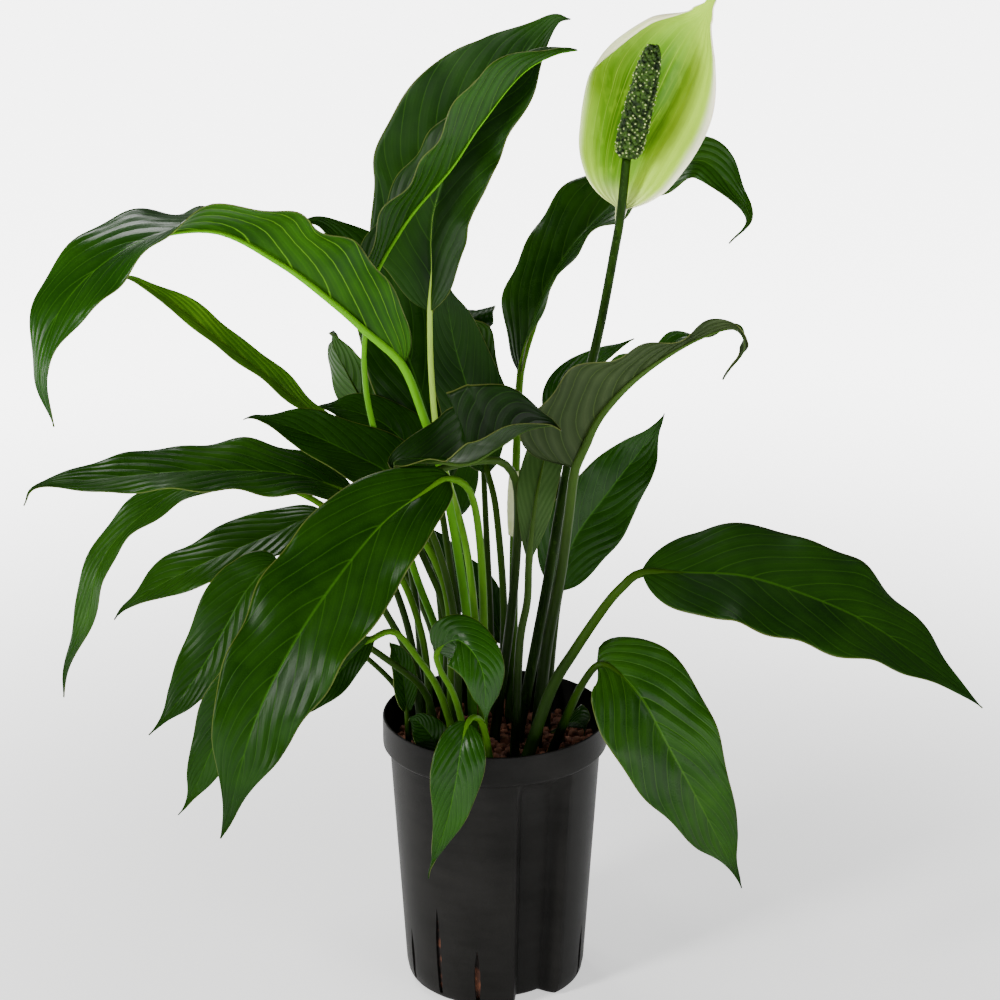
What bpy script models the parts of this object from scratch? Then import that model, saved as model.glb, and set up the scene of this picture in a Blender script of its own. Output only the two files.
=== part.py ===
import math

import bmesh
import bpy
from mathutils import Vector

# Potted peace lily.  Lengths are in millimetres, turned into metres when a mesh is made.
# The pot stands on z = 0 with its centre on the z axis; the front of the plant faces -y.

MM = 0.001

# pot
rim_radius = 75.0
rim_height = 190.0
rim_band = 20.0
wall = 1.8
floor_thickness = 2.2
segments = 48
flute_angle = -61.5
flute_half = 17.0
flute_ramp = 6.5
flute_depth = 12.0
slot_width = 4.0
# slots: direction in degrees from +x, height of the upper end
slots = [(-101, 44), (-127, 70), (-154, 43), (-181, 68), (-208, 43), (-235, 68),
         (-262, 43), (-289, 68), (-316, 43), (-21, 43)]

# growing medium
soil_top = 167.0
hole_bottom = 146.0
hole_gap = 0.4
play = 0.4

# leaves
blade_thickness = 0.9
blade_stations = 11
wave_share = 0.03

green_top = (0.012, 0.070, 0.010, 1.0)
green_bright = (0.050, 0.190, 0.012, 1.0)
green_dark = (0.008, 0.042, 0.008, 1.0)

# name, shade, stem radii (low, high), stem points (the first is the foot in the soil), blade points,
# blade width, facing at base, middle and tip, fold of the halves at base, middle and tip,
# curl towards the edges, rise and fall of the outline
leaves = [
    ("leaf_arching", "bright", (3.2, 2.7),
     [(-14, -14), (-18, -15, 260), (-31, -20, 352), (-46, -30, 408), (-58, -40, 442)],
     [(-80, -50, 469), (-102, -65, 493), (-128, -80, 517), (-163, -100, 540), (-202, -115, 538),
      (-234, -130, 520), (-254, -145, 495), (-261, -155, 466), (-253, -160, 438)],
     76, [(0.3, 0.5, 0.8), (0.2, 0.6, 0.8), (0.1, 0.2, 0.9), (-0.4, -0.7, 0.7), (-0.5, -0.8, 0.3)],
     (48, 44, 24, 10, 5), -10, (0.55, 1.0)),
    ("leaf_tall", "top", (3.0, 1.7),
     [(-8, 26), (-18, 26, 290), (-36, 20, 367), (-41, 22, 415), (-42, 30, 458)],
     [(-41, 32, 484), (-41, 34, 507), (-37, 36, 530), (-20, 36, 575), (11, 28, 614), (35, 18, 644),
      (46, 12, 651)],
     90, [(-0.5, -0.9, 0.1), (-0.5, -0.9, 0.1), (-0.3, -0.9, 0.3)], (28, 26, 22), 0, (0.65, 0.95)),
    ("leaf_folded", "bright", (3.0, 1.7),
     [(-28, 14), (-37, 10, 237), (-54, 5, 292), (-78, -5, 391), (-83, -5, 429), (-82, -5, 453)],
     [(-80, -5, 474), (-75, -3, 493), (-54, 2, 526), (-28, 2, 556), (-9, 0, 584), (19, -3, 618),
      (50, -8, 634)],
     48, [(-0.7, -0.2, 0.5), (-0.7, -0.1, 0.6), (-0.5, 0.4, 0.8)], (55, 55, 60), 0, (1.0, 0.75)),
    ("leaf_right_upper", "top", (3.6, 2.6),
     [(10, 35), (12, 45, 223), (13, 56, 300), (15, 66, 370), (17, 72, 404)],
     [(22, 76, 430), (33, 82, 459), (48, 90, 483), (68, 99, 504), (92, 106, 523), (118, 109, 536),
      (139, 106, 540), (158, 98, 522), (168, 90, 505), (156, 84, 490)],
     64, [(-0.85, -0.5, 0.2), (-0.75, -0.55, 0.4), (0.2, -0.6, 0.7)], (34, 26, 12), -5, (0.8, 1.35)),
    ("leaf_right_middle", "under", (4.4, 3.2),
     [(27, -10), (34, -6, 238), (43, -3, 289), (48, -1, 329), (52, -3, 362)],
     [(61, -8, 392), (77, -13, 415), (98, -18, 435), (125, -23, 453), (149, -26, 461), (156, -27, 448),
      (142, -29, 430)],
     80, [(-0.5, 0.35, 0.8), (-0.45, 0.4, 0.8), (0.3, 0.4, 0.9)], (55, 50, 40), 0, (0.3, 2.5)),
    ("leaf_right_behind", "top", (2.8, 2.0),
     [(31, 42), (34, 64, 228), (40, 84, 285), (44, 84, 351)],
     [(45, 82, 388), (63, 80, 407), (93, 75, 428)],
     26, [(0.2, -0.6, 0.7), (0.0, -0.6, 0.8), (0.0, -0.6, 0.8)], (20, 20, 20), 0, (0.6, 1.1)),
    ("leaf_narrow", "under", (3.2, 2.4),
     [(13, -26), (16, -20, 245), (21, -16, 275), (22, -12, 300)],
     [(24, -10, 322), (27, -6, 345), (31, 4, 362), (36, 14, 380), (42, 24, 397)],
     27, [(0.1, 1.0, 0.0), (0.0, 1.0, 0.0), (0.0, 1.0, 0.1)], (10, 10, 10), 0, (0.9, 0.7)),
    ("leaf_right_erect", "top", (3.6, 2.8),
     [(34, 26), (39, 45, 223), (44, 58, 255)],
     [(54, 65, 289), (78, 70, 323), (98, 75, 349), (115, 75, 375)],
     52, [(0.0, -1.0, 0.2), (0.0, -1.0, 0.2), (0.1, -1.0, 0.2)], (10, 10, 10), 0, (0.55, 1.0)),
    ("leaf_right_long", "top", (4.4, 2.8),
     [(20, -44), (36, -45, 224), (51, -50, 254), (69, -55, 285), (80, -60, 301), (93, -60, 311)],
     [(123, -70, 315), (161, -80, 315), (213, -100, 302), (251, -110, 282), (298, -130, 250)],
     86, [(-0.1, -0.5, 0.9), (0.1, -0.5, 0.9), (0.3, -0.5, 0.8)], (8, 8, 8), -8, (0.6, 1.1)),
    ("leaf_right_low", "top", (3.4, 2.4),
     [(38, -25), (48, -35, 205), (56, -45, 228), (66, -50, 244)],
     [(77, -55, 243), (94, -65, 227), (110, -72, 199), (128, -76, 166), (146, -76, 130),
      (162, -74, 98)],
     70, [(-0.1, -0.6, 0.8), (-0.1, -0.9, 0.3), (-0.3, -0.9, 0.1)], (15, 15, 12), -8, (0.42, 1.1)),
    ("leaf_centre", "top", (3.4, 2.4),
     [(0, 5), (12, 4, 272), (15, 3, 340), (8, -6, 364), (-4, -18, 372), (-24, -33, 374),
      (-46, -42, 370), (-60, -47, 373)],
     [(-62, -49, 381), (-50, -52, 384), (-34, -55, 384), (-16, -59, 384), (3, -64, 396), (20, -69, 408),
      (41, -76, 414)],
     92, [(0.0, -0.42, 0.91), (0.0, -0.42, 0.91), (0.0, -0.4, 0.9)], (20, 50, 50), 0, (1.5, 1.2)),
    ("leaf_centre_dark", "dark", (3.0, 2.2),
     [(3, 38), (6, 32, 246), (1, 34, 318), (-5, 40, 345)],
     [(-10, 45, 362), (-16, 48, 393), (-26, 50, 428), (-31, 50, 457), (-34, 50, 480)],
     48, [(0.3, -1.0, 0.1), (0.3, -0.9, 0.2), (0.2, -0.9, 0.3)], (10, 10, 10), 0, (0.6, 1.0)),
    ("leaf_left_rolled", "bright", (2.8, 2.0),
     [(-35, 0), (-32, 4, 250), (-44, 12, 288), (-75, 18, 350), (-97, 20, 378)],
     [(-110, 20, 388), (-126, 20, 399), (-150, 20, 420), (-179, 20, 443), (-205, 20, 465),
      (-238, 20, 486)],
     22, [(0.4, -0.5, 0.8), (0.4, -0.5, 0.8), (0.4, -0.5, 0.8)], (25, 25, 20), -10, (0.7, 0.6)),
    ("leaf_left_long", "top", (2.8, 2.2),
     [(-30, -15), (-29, -20, 261), (-39, -20, 305), (-64, -20, 342), (-89, -25, 351)],
     [(-125, -40, 370), (-182, -60, 379), (-242, -80, 380), (-278, -95, 380), (-287, -100, 371)],
     48, [(0.0, -0.5, 0.9), (0.0, -0.4, 0.9), (-0.4, -0.5, 0.8)], (12, 12, 12), -10, (0.5, 0.9)),
    ("leaf_left_drooping", "dark", (2.6, 2.0),
     [(-42, -10), (-48, -5, 246), (-69, 0, 298), (-109, 3, 332), (-135, 7, 345)],
     [(-165, 8, 353), (-202, 4, 346), (-227, -4, 332), (-247, -12, 314), (-258, -20, 295),
      (-265, -27, 266), (-277, -32, 239), (-282, -35, 216)],
     27, [(0.0, -0.5, 0.9), (-0.5, -0.6, 0.6), (-0.6, -0.8, 0.1)], (20, 20, 20), -10, (0.5, 0.8)),
    ("leaf_left_middle", "top", (2.8, 2.0),
     [(-46, 10), (-60, 17, 251), (-82, 21, 301), (-113, 20, 322)],
     [(-147, 10, 312), (-185, -15, 303), (-216, -25, 290), (-246, -35, 273)],
     40, [(0.0, -0.6, 0.8), (-0.1, -0.6, 0.8), (-0.2, -0.6, 0.8)], (12, 12, 12), -8, (0.6, 0.9)),
    ("leaf_front_large", "top", (3.2, 2.2),
     [(-8, -38), (-7, -45, 259), (-9, -50, 323), (-15, -55, 362), (-28, -62, 374)],
     [(-43, -72, 369), (-69, -86, 353), (-99, -105, 320), (-125, -124, 284), (-148, -138, 238),
      (-167, -150, 170)],
     77, [(-0.3, -0.7, 0.6), (-0.3, -0.9, 0.3), (-0.2, -1.0, 0.1)], (12, 12, 10), -8, (0.55, 0.9)),
    ("leaf_left_low", "top", (2.8, 2.0),
     [(-47, -22), (-54, -15, 225), (-68, -18, 262), (-92, -34, 303), (-137, -45, 311)],
     [(-156, -50, 298), (-171, -57, 274), (-187, -62, 247), (-203, -67, 225), (-220, -72, 205)],
     44, [(-0.1, -0.7, 0.7), (-0.2, -0.9, 0.4), (-0.2, -1.0, 0.2)], (15, 15, 12), -8, (0.5, 1.1)),
    ("leaf_left_hanging", "dark", (2.6, 2.0),
     [(-37, -31), (-44, -34, 215), (-62, -56, 245), (-104, -72, 278), (-141, -80, 267)],
     [(-161, -85, 238), (-178, -90, 205), (-190, -93, 178), (-200, -96, 160)],
     38, [(-0.2, -0.9, 0.3), (-0.2, -1.0, 0.2), (-0.2, -1.0, 0.1)], (12, 12, 12), -8, (0.6, 1.2)),
    ("leaf_left_small", "dark", (2.2, 1.6),
     [(-53, 0), (-69, -10, 217), (-114, -20, 256)],
     [(-153, -25, 244), (-202, -35, 211)],
     30, [(0.0, -0.8, 0.5), (-0.1, -0.9, 0.4), (-0.1, -0.9, 0.4)], (10, 10, 10), 0, (0.6, 1.0)),
    ("leaf_brown_edge", "dark", (2.6, 2.0),
     [(-22, -44), (-35, -55, 226), (-50, -68, 258), (-63, -76, 277), (-76, -81, 275)],
     [(-89, -85, 264), (-102, -88, 249), (-115, -91, 236), (-128, -94, 223)],
     20, [(0.5, -0.7, 0.5), (0.5, -0.7, 0.5), (0.4, -0.8, 0.4)], (20, 20, 20), 0, (0.6, 1.0)),
    ("leaf_mid_left", "top", (3.0, 2.2),
     [(-24, -30), (-26, -30, 267), (-42, -26, 330)],
     [(-64, -21, 361), (-89, -22, 377), (-121, -24, 393), (-158, -30, 407)],
     46, [(0.0, -0.7, 0.7), (0.0, -0.6, 0.8), (0.0, -0.6, 0.8)], (12, 12, 12), 0, (0.6, 1.0)),
    ("leaf_mid_behind", "dark", (2.8, 2.0),
     [(-33, 30), (-37, 32, 256), (-47, 32, 326)],
     [(-55, 32, 360), (-72, 34, 380), (-95, 36, 389), (-120, 38, 392)],
     40, [(0.2, -0.8, 0.6), (0.1, -0.7, 0.7), (0.0, -0.7, 0.7)], (12, 12, 12), 0, (0.6, 1.0)),
    ("leaf_back_tall", "dark", (3.2, 2.2),
     [(-18, 46), (-27, 50, 251), (-38, 54, 330)],
     [(-42, 56, 369), (-51, 60, 399), (-66, 64, 439), (-85, 64, 478), (-108, 58, 507),
      (-128, 48, 515)],
     64, [(0.3, -0.9, 0.3), (0.3, -0.9, 0.4), (0.3, -0.8, 0.5)], (12, 12, 12), 0, (0.6, 1.0)),
    ("leaf_olive", "under", (2.8, 2.0),
     [(-48, 32), (-55, 55, 256), (-72, 66, 340)],
     [(-84, 72, 374), (-98, 76, 402), (-108, 80, 422), (-107, 90, 430)],
     38, [(0.3, 0.9, 0.2), (0.3, 0.9, 0.2), (0.2, 0.7, 0.7)], (12, 12, 12), 0, (0.6, 0.7)),
    ("leaf_front_small", "top", (2.4, 1.8),
     [(-14, -54), (-25, -65, 226), (-35, -72, 251), (-36, -78, 265)],
     [(-22, -90, 277), (-8, -100, 262), (-5, -105, 228)],
     34, [(0.1, -0.9, 0.5), (0.2, -1.0, 0.1), (0.1, -1.0, 0.0)], (12, 12, 12), -20, (0.5, 1.0)),
    ("leaf_back_square", "dark", (3.0, 2.0),
     [(-2, 51), (-4, 60, 247), (-8, 75, 340)],
     [(-9, 85, 382), (-14, 92, 412), (-16, 100, 433), (-12, 116, 436), (-6, 132, 416)],
     32, [(0.2, 0.9, 0.3), (0.2, 0.8, 0.4), (0.1, 0.5, 0.9), (0.0, 0.8, 0.6)], (8, 8, 8), 0, (0.6, 0.5)),
    ("leaf_over_rim", "top", (2.6, 1.8),
     [(-2, -58), (-7, -64, 206), (-12, -74, 218), (-17, -82, 218)],
     [(-21, -92, 207), (-25, -98, 182), (-32, -98, 151), (-44, -94, 115)],
     34, [(0.0, -0.9, 0.4), (0.0, -1.0, 0.1), (0.0, -1.0, 0.0)], (20, 20, 15), -20, (0.6, 1.2)),
    ("leaf_in_pot_right", "dark", (2.2, 1.6),
     [(44, 4), (45, 0, 179)],
     [(47, -5, 184), (54, -14, 189), (60, -24, 188)],
     29, [(0.0, -0.5, 0.9), (0.0, -0.5, 0.9), (0.1, -0.5, 0.9)], (10, 10, 10), 0, (0.6, 1.0)),
    ("leaf_behind_stems", "dark", (2.4, 1.8),
     [(12, 52), (6, 66, 212)],
     [(-12, 72, 245), (-31, 74, 264), (-44, 74, 286), (-53, 72, 302)],
     32, [(0.0, -0.9, 0.4), (0.0, -0.9, 0.4), (0.0, -0.9, 0.4)], (10, 10, 10), 0, (0.6, 0.8)),
    ("leaf_in_pot_left", "dark", (2.2, 1.6),
     [(-34, -48), (-36, -48, 182)],
     [(-41, -48, 193), (-49, -44, 201), (-57, -39, 203)],
     23, [(0.0, -0.9, 0.4), (-0.1, -0.9, 0.4), (-0.2, -0.9, 0.4)], (10, 10, 10), 0, (0.6, 1.0)),
    ("leaf_young", "top", (1.8, 1.4),
     [(-56, 22), (-57, 22, 186)],
     [(-58, 21, 196), (-59, 20, 206), (-60, 18, 216)],
     14, [(0.0, -1.0, 0.2), (0.0, -1.0, 0.2), (0.0, -1.0, 0.2)], (10, 10, 10), 0, (0.6, 0.8)),
    ("leaf_curled", "dark", (2.2, 1.6),
     [(-57, -22), (-58, -24, 200)],
     [(-59, -27, 218), (-61, -32, 236), (-65, -38, 250), (-68, -46, 258)],
     18, [(0.3, -0.9, 0.3), (0.3, -0.9, 0.3), (0.3, -0.9, 0.3)], (25, 25, 20), 0, (0.6, 0.8)),
    ("leaf_rear_centre", "top", (3.0, 2.2),
     [(-8, 60), (-14, 80, 230), (-26, 110, 290)],
     [(-38, 140, 320), (-50, 175, 330), (-58, 215, 310), (-62, 245, 270)],
     60, [(0.0, 0.3, 0.9), (0.0, 0.6, 0.8), (0.0, 0.9, 0.4)], (12, 12, 10), -5, (0.6, 1.0)),
    ("leaf_rear_left", "top", (3.0, 2.2),
     [(-32, 48), (-45, 70, 225), (-70, 98, 265)],
     [(-95, 125, 280), (-120, 145, 268), (-142, 160, 240), (-155, 170, 205)],
     54, [(-0.3, 0.4, 0.9), (-0.5, 0.6, 0.6), (-0.6, 0.7, 0.3)], (12, 12, 10), -5, (0.6, 1.0)),
    ("leaf_rear_right", "top", (3.0, 2.2),
     [(26, 50), (32, 70, 215), (45, 115, 258)],
     [(52, 145, 270), (57, 172, 264), (60, 192, 244), (61, 204, 222)],
     50, [(0.3, 0.4, 0.9), (0.4, 0.7, 0.6), (0.5, 0.8, 0.2)], (12, 12, 10), -5, (0.6, 1.0)),
]

spathe_spine = [(84, 16, 546), (93, 22, 570), (107, 27, 594), (122, 25, 626), (134, 12, 660)]
spathe_tail = 0.12
stalk_points = [(16, 5), (33, 14, 266), (50, 30, 364), (66, 34, 436), (71, 30, 464), (76, 18, 500),
                (79, 9, 524), (82, 3, 562)]


def clear_scene():
    for thing in list(bpy.data.objects):
        bpy.data.objects.remove(thing, do_unlink=True)
    for group in list(bpy.data.collections):
        bpy.data.collections.remove(group)


def make_collection(name):
    group = bpy.data.collections.new(name)
    bpy.context.scene.collection.children.link(group)
    return group


def make_material(name, colour, roughness, metallic=0.0):
    mat = bpy.data.materials.new(name)
    mat.use_nodes = True
    shader = mat.node_tree.nodes["Principled BSDF"]
    shader.inputs["Base Color"].default_value = colour
    shader.inputs["Roughness"].default_value = roughness
    shader.inputs["Metallic"].default_value = metallic
    mat.diffuse_color = colour
    return mat


def mesh_object(name, points, faces, group):
    mesh = bpy.data.meshes.new(name)
    mesh.from_pydata([[c * MM for c in p] for p in points], [], faces)
    mesh.validate()
    work = bmesh.new()
    work.from_mesh(mesh)
    bmesh.ops.recalc_face_normals(work, faces=work.faces)
    work.to_mesh(mesh)
    work.free()
    thing = bpy.data.objects.new(name, mesh)
    group.objects.link(thing)
    return thing


def smooth(thing):
    for face in thing.data.polygons:
        face.use_smooth = True


def curve_point(points, t):
    # Catmull-Rom curve through the points, t from 0 to 1
    count = len(points) - 1
    place = min(max(t, 0.0), 1.0) * count
    index = min(int(place), count - 1)
    u = place - index
    p1 = Vector(points[index])
    p2 = Vector(points[index + 1])
    p0 = Vector(points[index - 1]) if index > 0 else p1 * 2 - p2
    p3 = Vector(points[index + 2]) if index + 2 <= count else p2 * 2 - p1
    return 0.5 * ((2 * p1) + (p2 - p0) * u + (2 * p0 - 5 * p1 + 4 * p2 - p3) * u * u
                  + (3 * p1 - p0 - 3 * p2 + p3) * u * u * u)


def even_points(points, count):
    # points at equal distances along the smooth curve
    fine = [curve_point(points, i / 200) for i in range(201)]
    run = [0.0]
    for i in range(200):
        run.append(run[-1] + (fine[i + 1] - fine[i]).length)
    result = []
    step = 0
    for i in range(count):
        goal = run[-1] * i / (count - 1)
        while step < 199 and run[step + 1] < goal:
            step += 1
        share = (goal - run[step]) / max(run[step + 1] - run[step], 1e-9)
        result.append(fine[step].lerp(fine[step + 1], min(share, 1.0)))
    return result


def tangents(points):
    result = []
    last = len(points) - 1
    for i in range(len(points)):
        before = points[max(i - 1, 0)]
        after = points[min(i + 1, last)]
        result.append((after - before).normalized())
    return result


def blade_profile(t, front=0.6, back=1.1):
    peak = front / (front + back)
    top = peak ** front * (1 - peak) ** back
    t = min(max(t, 0.0), 1.0)
    point = min(max((t - 0.78) / 0.16, 0.0), 1.0)
    drawn = 1 - 0.45 * point * point * (3 - 2 * point)
    return drawn * t ** front * (1 - t) ** back / top


def mix3(vectors, t):
    place = t * (len(vectors) - 1)
    index = min(int(place), len(vectors) - 2)
    return Vector(vectors[index]).lerp(Vector(vectors[index + 1]), place - index)


def mix_numbers(values, t):
    place = t * (len(values) - 1)
    index = min(int(place), len(values) - 2)
    share = place - index
    return values[index] * (1 - share) + values[index + 1] * share


def across(centre, side, face, half, fold, curl, parts):
    # rib to edge on both sides, curving from the fold angle to the fold plus curl
    left = []
    right = []
    for sign, row in ((-1, left), (1, right)):
        place = centre.copy()
        for k in range(parts):
            angle = math.radians(fold + curl * (k + 0.5) / parts)
            step = side * sign * math.cos(angle) + face * math.sin(angle)
            place = place + step * (half / parts)
            row.append((place.copy(), (face * math.cos(angle) - side * sign * math.sin(angle))))
    return left, right


def leaf_rings(stem, blade, radii, width, facing, fold, curl, shape, parts=2, thickness=blade_thickness):
    foot = stem[0]
    low = [(foot[0], foot[1], hole_bottom + 0.5), (foot[0], foot[1], soil_top + 6.0)]
    line = [low[-1]] + list(stem[1:]) + list(blade)
    stem_count = len(stem)
    whole = len(line) - 1
    split = (stem_count - 1) / whole
    fine = [curve_point(line, split * i / 60) for i in range(61)]
    fine_blade = [curve_point(line, split + (1 - split) * i / 100) for i in range(101)]
    stem_length = sum((fine[i + 1] - fine[i]).length for i in range(60))
    n_stem = max(2, min(6, round(stem_length / 48)))
    blade_length = sum((fine_blade[i + 1] - fine_blade[i]).length for i in range(100))
    stations = max(6, min(blade_stations, round(blade_length / 24)))
    stem_pts = even_points([tuple(p) for p in fine], n_stem + 1)
    blade_pts = even_points([tuple(p) for p in fine_blade], stations + 1)
    centres = [Vector(low[0])] + stem_pts + blade_pts[1:]
    frames = tangents(centres)
    frames[0] = Vector((0, 0, 1))
    frames[1] = (frames[1] + Vector((0, 0, 1))).normalized()
    total = len(centres)
    first = 1 + n_stem
    faces_dir = [None] * total
    for i in range(first, total):
        t = (i - first) / stations
        want = mix3(facing, t)
        want = want - frames[i] * want.dot(frames[i])
        faces_dir[i] = want.normalized()
    for i in range(first - 1, -1, -1):
        want = faces_dir[i + 1]
        want = want - frames[i] * want.dot(frames[i])
        faces_dir[i] = want.normalized()
    rings = []
    for i in range(total):
        tangent = frames[i]
        face = faces_dir[i]
        side = tangent.cross(face).normalized()
        centre = centres[i]
        if i <= first:
            part = max(0, i - 1) / max(1, n_stem)
            radius = radii[0] + (radii[1] - radii[0]) * part
            ring = []
            count = 4 * parts + 2
            for k in range(count):
                angle = math.radians(180 - 180 / count - 360 * k / count)
                ring.append(centre + side * (radius * math.cos(angle)) + face * (radius * math.sin(angle)))
            rings.append(ring)
        else:
            t = (i - first) / stations
            bend = mix_numbers(fold, t)
            half = max(width / 2 * blade_profile(t, *shape), 0.9)
            if i < first + 2:
                half = max(half, radii[1] * 1.1)
            left, right = across(centre, side, face, half, bend, curl, parts)
            rib = radii[1] * (1 - t) ** 1.5 * 1.3
            lift = width * wave_share * math.sin(t * 15.0) * math.sin(math.pi * t)
            ring = []
            for k in range(parts - 1, -1, -1):
                ring.append(left[k][0] + face * (lift if k == parts - 1 else 0))
            ring.append(centre.copy())
            for k in range(parts):
                ring.append(right[k][0] - face * (lift if k == parts - 1 else 0))
            for k in range(parts - 1, -1, -1):
                ring.append(right[k][0] - right[k][1] * thickness
                            - face * (lift if k == parts - 1 else 0))
            ring.append(centre - face * (thickness + rib))
            for k in range(parts):
                ring.append(left[k][0] - left[k][1] * thickness
                            + face * (lift if k == parts - 1 else 0))
            rings.append(ring)
    return rings


def loft(name, rings, group):
    count = len(rings[0])
    points = [p for ring in rings for p in ring]
    faces = []
    half = count // 2
    for i in range(len(rings) - 1):
        low = i * count
        high = low + count
        for k in range(count):
            n = (k + 1) % count
            # both faces of a blade are split along the same diagonal
            if k < half - 1 or k == count - 1:
                faces.append((low + k, low + n, high + n))
                faces.append((low + k, high + n, high + k))
            else:
                faces.append((low + k, low + n, high + k))
                faces.append((low + n, high + n, high + k))
    faces.append(tuple(range(count)))
    faces.append(tuple(range((len(rings) - 1) * count, len(rings) * count)))
    thing = mesh_object(name, points, faces, group)
    return thing


def apply_modifiers(thing):
    bpy.ops.object.select_all(action="DESELECT")
    bpy.context.view_layer.objects.active = thing
    thing.select_set(True)
    for mod in list(thing.modifiers):
        bpy.ops.object.modifier_apply(modifier=mod.name)


def triangulate(thing):
    work = bmesh.new()
    work.from_mesh(thing.data)
    bmesh.ops.triangulate(work, faces=[f for f in work.faces if len(f.verts) > 3])
    work.to_mesh(thing.data)
    work.free()


def flute_push(angle, z):
    # how far the wall is pressed in at this direction and height
    off = abs((math.degrees(angle) - flute_angle + 180) % 360 - 180)
    inside = (flute_half - off) / flute_ramp
    inside = min(max(inside, 0.0), 1.0)
    amount = inside * inside * (3 - 2 * inside)
    rise = min(max((rim_height - rim_band - 1.0 - z) / 12.0, 0.0), 1.0)
    return flute_depth * amount * rise


def press_flute(thing, limit):
    for vert in thing.data.vertices:
        x = vert.co.x / MM
        y = vert.co.y / MM
        radius = math.hypot(x, y)
        if radius < limit:
            continue
        angle = math.atan2(y, x)
        push = flute_push(angle, vert.co.z / MM)
        scale = (radius - push) / radius
        vert.co.x = vert.co.x * scale
        vert.co.y = vert.co.y * scale


def turned(name, profile, group):
    # closed body turned from a profile that runs from the top down to the axis
    points = [(r * MM, 0.0, z * MM) for r, z in profile]
    mesh = bpy.data.meshes.new(name)
    mesh.from_pydata(points, [(i, i + 1) for i in range(len(points) - 1)], [])
    thing = bpy.data.objects.new(name, mesh)
    group.objects.link(thing)
    screw = thing.modifiers.new("turn", "SCREW")
    screw.steps = segments
    screw.render_steps = segments
    screw.use_merge_vertices = True
    screw.merge_threshold = 0.0001
    apply_modifiers(thing)
    work = bmesh.new()
    work.from_mesh(thing.data)
    bmesh.ops.remove_doubles(work, verts=work.verts, dist=1e-6)
    bmesh.ops.recalc_face_normals(work, faces=work.faces)
    work.to_mesh(thing.data)
    work.free()
    return thing


def make_pot(group, cutters):
    base_z = rim_height - rim_band
    outer = [(rim_radius, rim_height), (rim_radius, base_z + 1.5), (rim_radius - 0.6, base_z),
             (rim_radius - 3.6, base_z - 2.5)]
    body_top = rim_radius - 4.6
    for z in (164, 157, 120, 60, 10):
        outer.append((60.4 + (body_top - 60.4) * (z - 4) / 163, z))
    outer += [(59.6, 4.0), (57.0, 1.0), (53.5, 0.0), (30.0, 0.0), (0.0, 0.0)]
    inner = [(rim_radius - wall, rim_height), (rim_radius - wall, base_z + 2.5)]
    inner += [(body_top - wall + 0.2, base_z - 3.5)]
    for z in (164, 157, 120, 60, 10):
        inner.append((60.4 + (body_top - 60.4) * (z - 4) / 163 - wall, z))
    inner += [(57.0, 3.6), (54.0, floor_thickness), (30.0, floor_thickness), (0.0, floor_thickness)]
    profile = list(reversed(inner)) + outer
    pot = turned("pot", profile, group)
    press_flute(pot, 35.0)
    for index, (direction, top) in enumerate(slots):
        angle = math.radians(direction)
        reach = 60.0
        half = slot_width / 2
        # a spindle: pointed above, straight-sided, narrower below
        outline = [(-half * 0.6, 5.0), (half * 0.6, 5.0), (half, 5.0 + (top - 5) * 0.35),
                   (half * 0.8, 5.0 + (top - 5) * 0.8), (0.0, top),
                   (-half * 0.8, 5.0 + (top - 5) * 0.8), (-half, 5.0 + (top - 5) * 0.35)]
        points = []
        for distance in (reach - 14, reach + 14):
            for s, z in outline:
                x = distance * math.cos(angle) - s * math.sin(angle)
                y = distance * math.sin(angle) + s * math.cos(angle)
                points.append((x, y, z))
        n = len(outline)
        faces = [tuple(range(n)), tuple(range(n, 2 * n))]
        for k in range(n):
            faces.append((k, (k + 1) % n, n + (k + 1) % n, n + k))
        cutter = mesh_object("slot_cutter_%d" % index, points, faces, cutters)
        cutter.hide_render = True
        cutter.display_type = "WIRE"
    cut = pot.modifiers.new("slots", "BOOLEAN")
    cut.operation = "DIFFERENCE"
    cut.operand_type = "COLLECTION"
    cut.collection = cutters
    cut.solver = "EXACT"
    apply_modifiers(pot)
    for thing in list(cutters.objects):
        bpy.data.objects.remove(thing, do_unlink=True)
    triangulate(pot)
    smooth(pot)
    return pot


def make_medium(group, cutters, feet):
    base_z = rim_height - rim_band
    body_top = rim_radius - 4.6
    profile = []
    rings = [(0.0, 0.5), (12.0, -0.5), (24.0, 0.6), (36.0, -0.4), (48.0, 0.5), (58.0, -0.3)]
    for radius, rise in rings:
        profile.append((radius, soil_top + rise))
    for z in (soil_top - 2.0, 164, 157, 120, 60, 10):
        profile.append((60.4 + (body_top - 60.4) * (z - 4) / 163 - wall - play, z))
    profile += [(56.5, 4.0), (53.6, floor_thickness + play), (30.0, floor_thickness + play),
                (0.0, floor_thickness + play)]
    medium = turned("clay_granules", profile, group)
    press_flute(medium, 35.0)
    for index, (x, y, radius) in enumerate(feet):
        bpy.ops.mesh.primitive_cylinder_add(vertices=8, radius=(radius + hole_gap) * MM * 1.07, depth=0.06,
                                            location=(x * MM, y * MM, hole_bottom * MM + 0.03))
        cutter = bpy.context.active_object
        cutter.name = "hole_cutter_%d" % index
        for owner in list(cutter.users_collection):
            owner.objects.unlink(cutter)
        cutters.objects.link(cutter)
        cutter.hide_render = True
        cutter.display_type = "WIRE"
    cut = medium.modifiers.new("holes", "BOOLEAN")
    cut.operation = "DIFFERENCE"
    cut.operand_type = "COLLECTION"
    cut.collection = cutters
    cut.solver = "EXACT"
    apply_modifiers(medium)
    for thing in list(cutters.objects):
        bpy.data.objects.remove(thing, do_unlink=True)
    triangulate(medium)
    smooth(medium)
    return medium


def stalk_centres():
    foot = stalk_points[0]
    line = [(foot[0], foot[1], soil_top + 6.0)] + stalk_points[1:]
    return [Vector((foot[0], foot[1], hole_bottom + 0.5))] + even_points(line, 17)


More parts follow.
